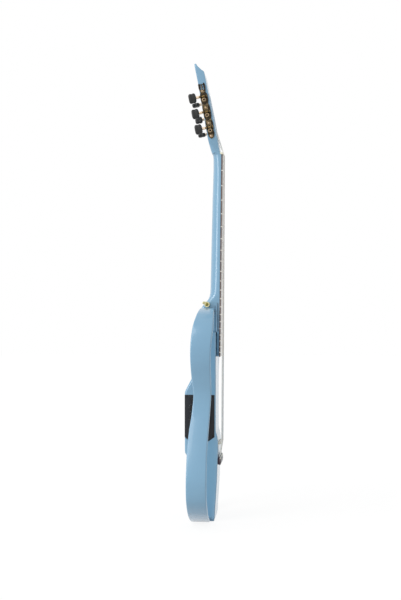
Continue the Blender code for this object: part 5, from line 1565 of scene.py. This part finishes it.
def worm_patterns():
    """A worm on its shaft, its ferrule and its finger button, with the worm's middle at the origin."""
    axis = Vector((-1.0, 0.0, 0.0))
    down = Vector((0.0, 0.0, -1.0))
    across = axis.cross(down)

    def disc(along, radii):
        return [along * axis + size * (math.cos(angle) * down + math.sin(angle) * across)
                for angle, size in zip(circle(WORM_SIDES), radii)]

    rings = [disc(along, [radius] * WORM_SIDES) for along, radius in SHAFT_BEFORE_THREAD]
    samples = 16 * WORM_TURNS
    length = WORM_LEAD * WORM_TURNS
    for k in range(samples + 1):
        along = length * (k / samples - 0.5)
        fade = min(1.0, 6.0 * k / samples, 6.0 * (samples - k) / samples)
        waves = [math.cos(TURN * along / WORM_LEAD - angle + math.pi) for angle in circle(WORM_SIDES)]
        rings.append(disc(along, [
            between(WORM_SHAFT_RADIUS, WORM_MEAN_RADIUS + 0.5 * WORM_THREAD_DEPTH * wave, fade)
            for wave in waves
        ]))
    rings += [disc(along, [radius] * WORM_SIDES) for along, radius in SHAFT_AFTER_THREAD]
    worm = loft("worm", rings)
    smooth(worm, 40.0)
    profile = [(FERRULE_START, 0.0)] + smooth_path(FERRULE_PROFILE, 3) + [(BUTTON_START - GAP, 0.0)]
    ferrule = turned("ferrule", profile, (0.0, 0.0, 0.0), axis, 32)
    smooth(ferrule, 50.0)
    rings = []
    for along, half_wide, half_thin in smooth_path(BUTTON_SECTIONS, 5):
        ring = []
        for angle in circle(40):
            thin, wide = (math.copysign(abs(part) ** BUTTON_SQUARENESS, part)
                          for part in (math.sin(angle), math.cos(angle)))
            ring.append(Vector((-BUTTON_START - along, half_thin * thin, half_wide * wide)))
        rings.append(ring)
    button = loft("button", rings)
    smooth(button, 60.0)
    return worm, ferrule, button


def make_tuners():
    """For each string a roller with its gear, a worm on its shaft and a finger button."""
    barrel, gear, hub, screw = roller_patterns()
    worm, ferrule, button = worm_patterns()
    for string in STRING_DIAMETERS:
        side, row = roller_place(string)
        roller_z = FIRST_ROLLER_Z + TUNER_PITCH * row
        axle = HEAD_PLACE @ Matrix.Translation((ROLLER_X, 0.0, roller_z))
        if side > 0:
            axle = axle @ MIRROR
        spindle = HEAD_PLACE @ Matrix.Translation((ROLLER_X, side * WORM_Y, roller_z + WORM_OFFSET))
        rolled = spindle @ Matrix.Rotation(-math.radians(BUTTON_ROLL[string]), 4, "X")
        for pattern, name, body, place, slot, paint, *nodes in (
                (barrel, "roller_%d_barrel", "roller_%d", axle, "white_plastic", IVORY, "tuner_roller_%d"),
                (gear, "roller_%d_gear", "roller_%d", axle, "old_gold", AGED_GILT),
                (hub, "roller_%d_hub", "roller_%d", axle, "old_gold", WORN_GILT),
                (screw, "roller_%d_screw", "roller_%d", axle, "steel", DARK_STEEL),
                (worm, "worm_%d_shaft", "worm_%d", spindle, "old_gold", WORM_GOLD, "tuner_worm_%d"),
                (ferrule, "worm_%d_ferrule", "worm_%d", spindle, "old_gold", PALE_FERRULE),
                (button, "worm_%d_button", "worm_%d", rolled, "black_plastic", BUTTON_BLACK,
                 "tuner_button_%d")):
            copy = twin(pattern, name % string, place)
            done(copy, body % string, slot, paint, *(node % string for node in nodes))
    for pattern in (barrel, gear, hub, screw, worm, ferrule, button):
        bpy.data.objects.remove(pattern)


def dress_frame_nodes():
    """The inner pieces that keep their own shape get a finish of their kind."""
    for node, paint in (("truss_rod", STEEL), ("piezo_pickup", PICKUP_FILM), ("circuit_board", BOARD_GREEN),
                        ("battery_contacts", STEEL)):
        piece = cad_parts[node]
        piece.data.materials.clear()
        piece.data.materials.append(paint)


# Camera, lights and floor

def make_camera():
    """The photograph's view: level, a little to the front of square on, and far enough to be nearly flat."""
    clear_selection()
    centre = at(*VIEW_CENTRE)
    place = centre + VIEW_DISTANCE * Vector((math.sin(VIEW_AZIMUTH), -math.cos(VIEW_AZIMUTH), 0.0))
    bpy.ops.object.camera_add(location=place, rotation=(0.5 * math.pi, 0.0, VIEW_AZIMUTH))
    camera = bpy.context.object
    camera.data.sensor_fit = "VERTICAL"
    camera.data.sensor_height = 24.0
    camera.data.lens = camera.data.sensor_height * VIEW_DISTANCE / VIEW_HEIGHT
    bpy.context.scene.camera = camera


def seen_rays(tree):
    """A factor that is 1 where the camera looks, directly or in a reflection or through something clear."""
    path = tree.nodes.new("ShaderNodeLightPath")
    total = path.outputs[SEEN_RAYS[0]]
    for label in SEEN_RAYS[1:]:
        total = calculate(tree, "MAXIMUM", total, path.outputs[label])
    return total


def make_stage():
    """White surroundings, a broad sun, a tall soft lamp and a pale floor that keeps a shadow."""
    world = bpy.data.worlds.new("studio")
    bpy.context.scene.world = world
    world.use_nodes = True
    tree = world.node_tree
    sky = tree.nodes["Background"]
    sky.inputs["Color"].default_value = (1.0, 1.0, 1.0, 1.0)
    level = tree.nodes.new("ShaderNodeMapRange")
    level.inputs["To Min"].default_value = WORLD_LEVEL
    level.inputs["To Max"].default_value = 1.0
    tree.links.new(seen_rays(tree), level.inputs["Value"])
    tree.links.new(level.outputs["Result"], sky.inputs["Strength"])

    clear_selection()
    bpy.ops.object.light_add(type="SUN", rotation=SUN_TURN)
    sun = bpy.context.object.data
    sun.energy = SUN_ENERGY
    sun.angle = SUN_ANGLE
    clear_selection()
    bpy.ops.object.light_add(type="AREA", location=LAMP_AT, rotation=LAMP_TURN)
    lamp = bpy.context.object.data
    lamp.shape = "RECTANGLE"
    lamp.size, lamp.size_y = LAMP_SIZE
    lamp.energy = LAMP_ENERGY

    clear_selection()
    bpy.ops.mesh.primitive_plane_add(size=FLOOR_SIZE, location=(0.0, 0.0, FLOOR_Z))
    floor = bpy.context.object
    floor.name = "pale_floor"
    made = bpy.data.materials.new("pale_floor")
    made.use_nodes = True
    tree = made.node_tree
    matt = tree.nodes["Principled BSDF"]
    matt.inputs["Base Color"].default_value = FLOOR_GREY
    matt.inputs["Roughness"].default_value = FLOOR_ROUGHNESS
    glow = tree.nodes.new("ShaderNodeEmission")
    glow.inputs["Strength"].default_value = FLOOR_GLOW
    share = tree.nodes.new("ShaderNodeMapRange")
    share.inputs["To Max"].default_value = FLOOR_GLOW_SHARE
    tree.links.new(seen_rays(tree), share.inputs["Value"])
    mix = tree.nodes.new("ShaderNodeMixShader")
    tree.links.new(share.outputs["Result"], mix.inputs[0])
    tree.links.new(matt.outputs["BSDF"], mix.inputs[1])
    tree.links.new(glow.outputs["Emission"], mix.inputs[2])
    tree.links.new(mix.outputs["Shader"], tree.nodes["Material Output"].inputs["Surface"])
    floor.data.materials.append(made)
    bpy.context.scene.view_settings.view_transform = "Standard"


make_camera()
make_stage()
make_neck()
make_headstock()
make_fingerboard()
make_nut()
make_strings()
make_body()
make_bridge()
make_frames()
make_thumb_screws()
make_strap_buttons()
make_panel()
make_knobs()
make_push_and_slide()
make_jacks()
make_battery()
make_plates()
make_tuners()
dress_frame_nodes()
clear_selection()
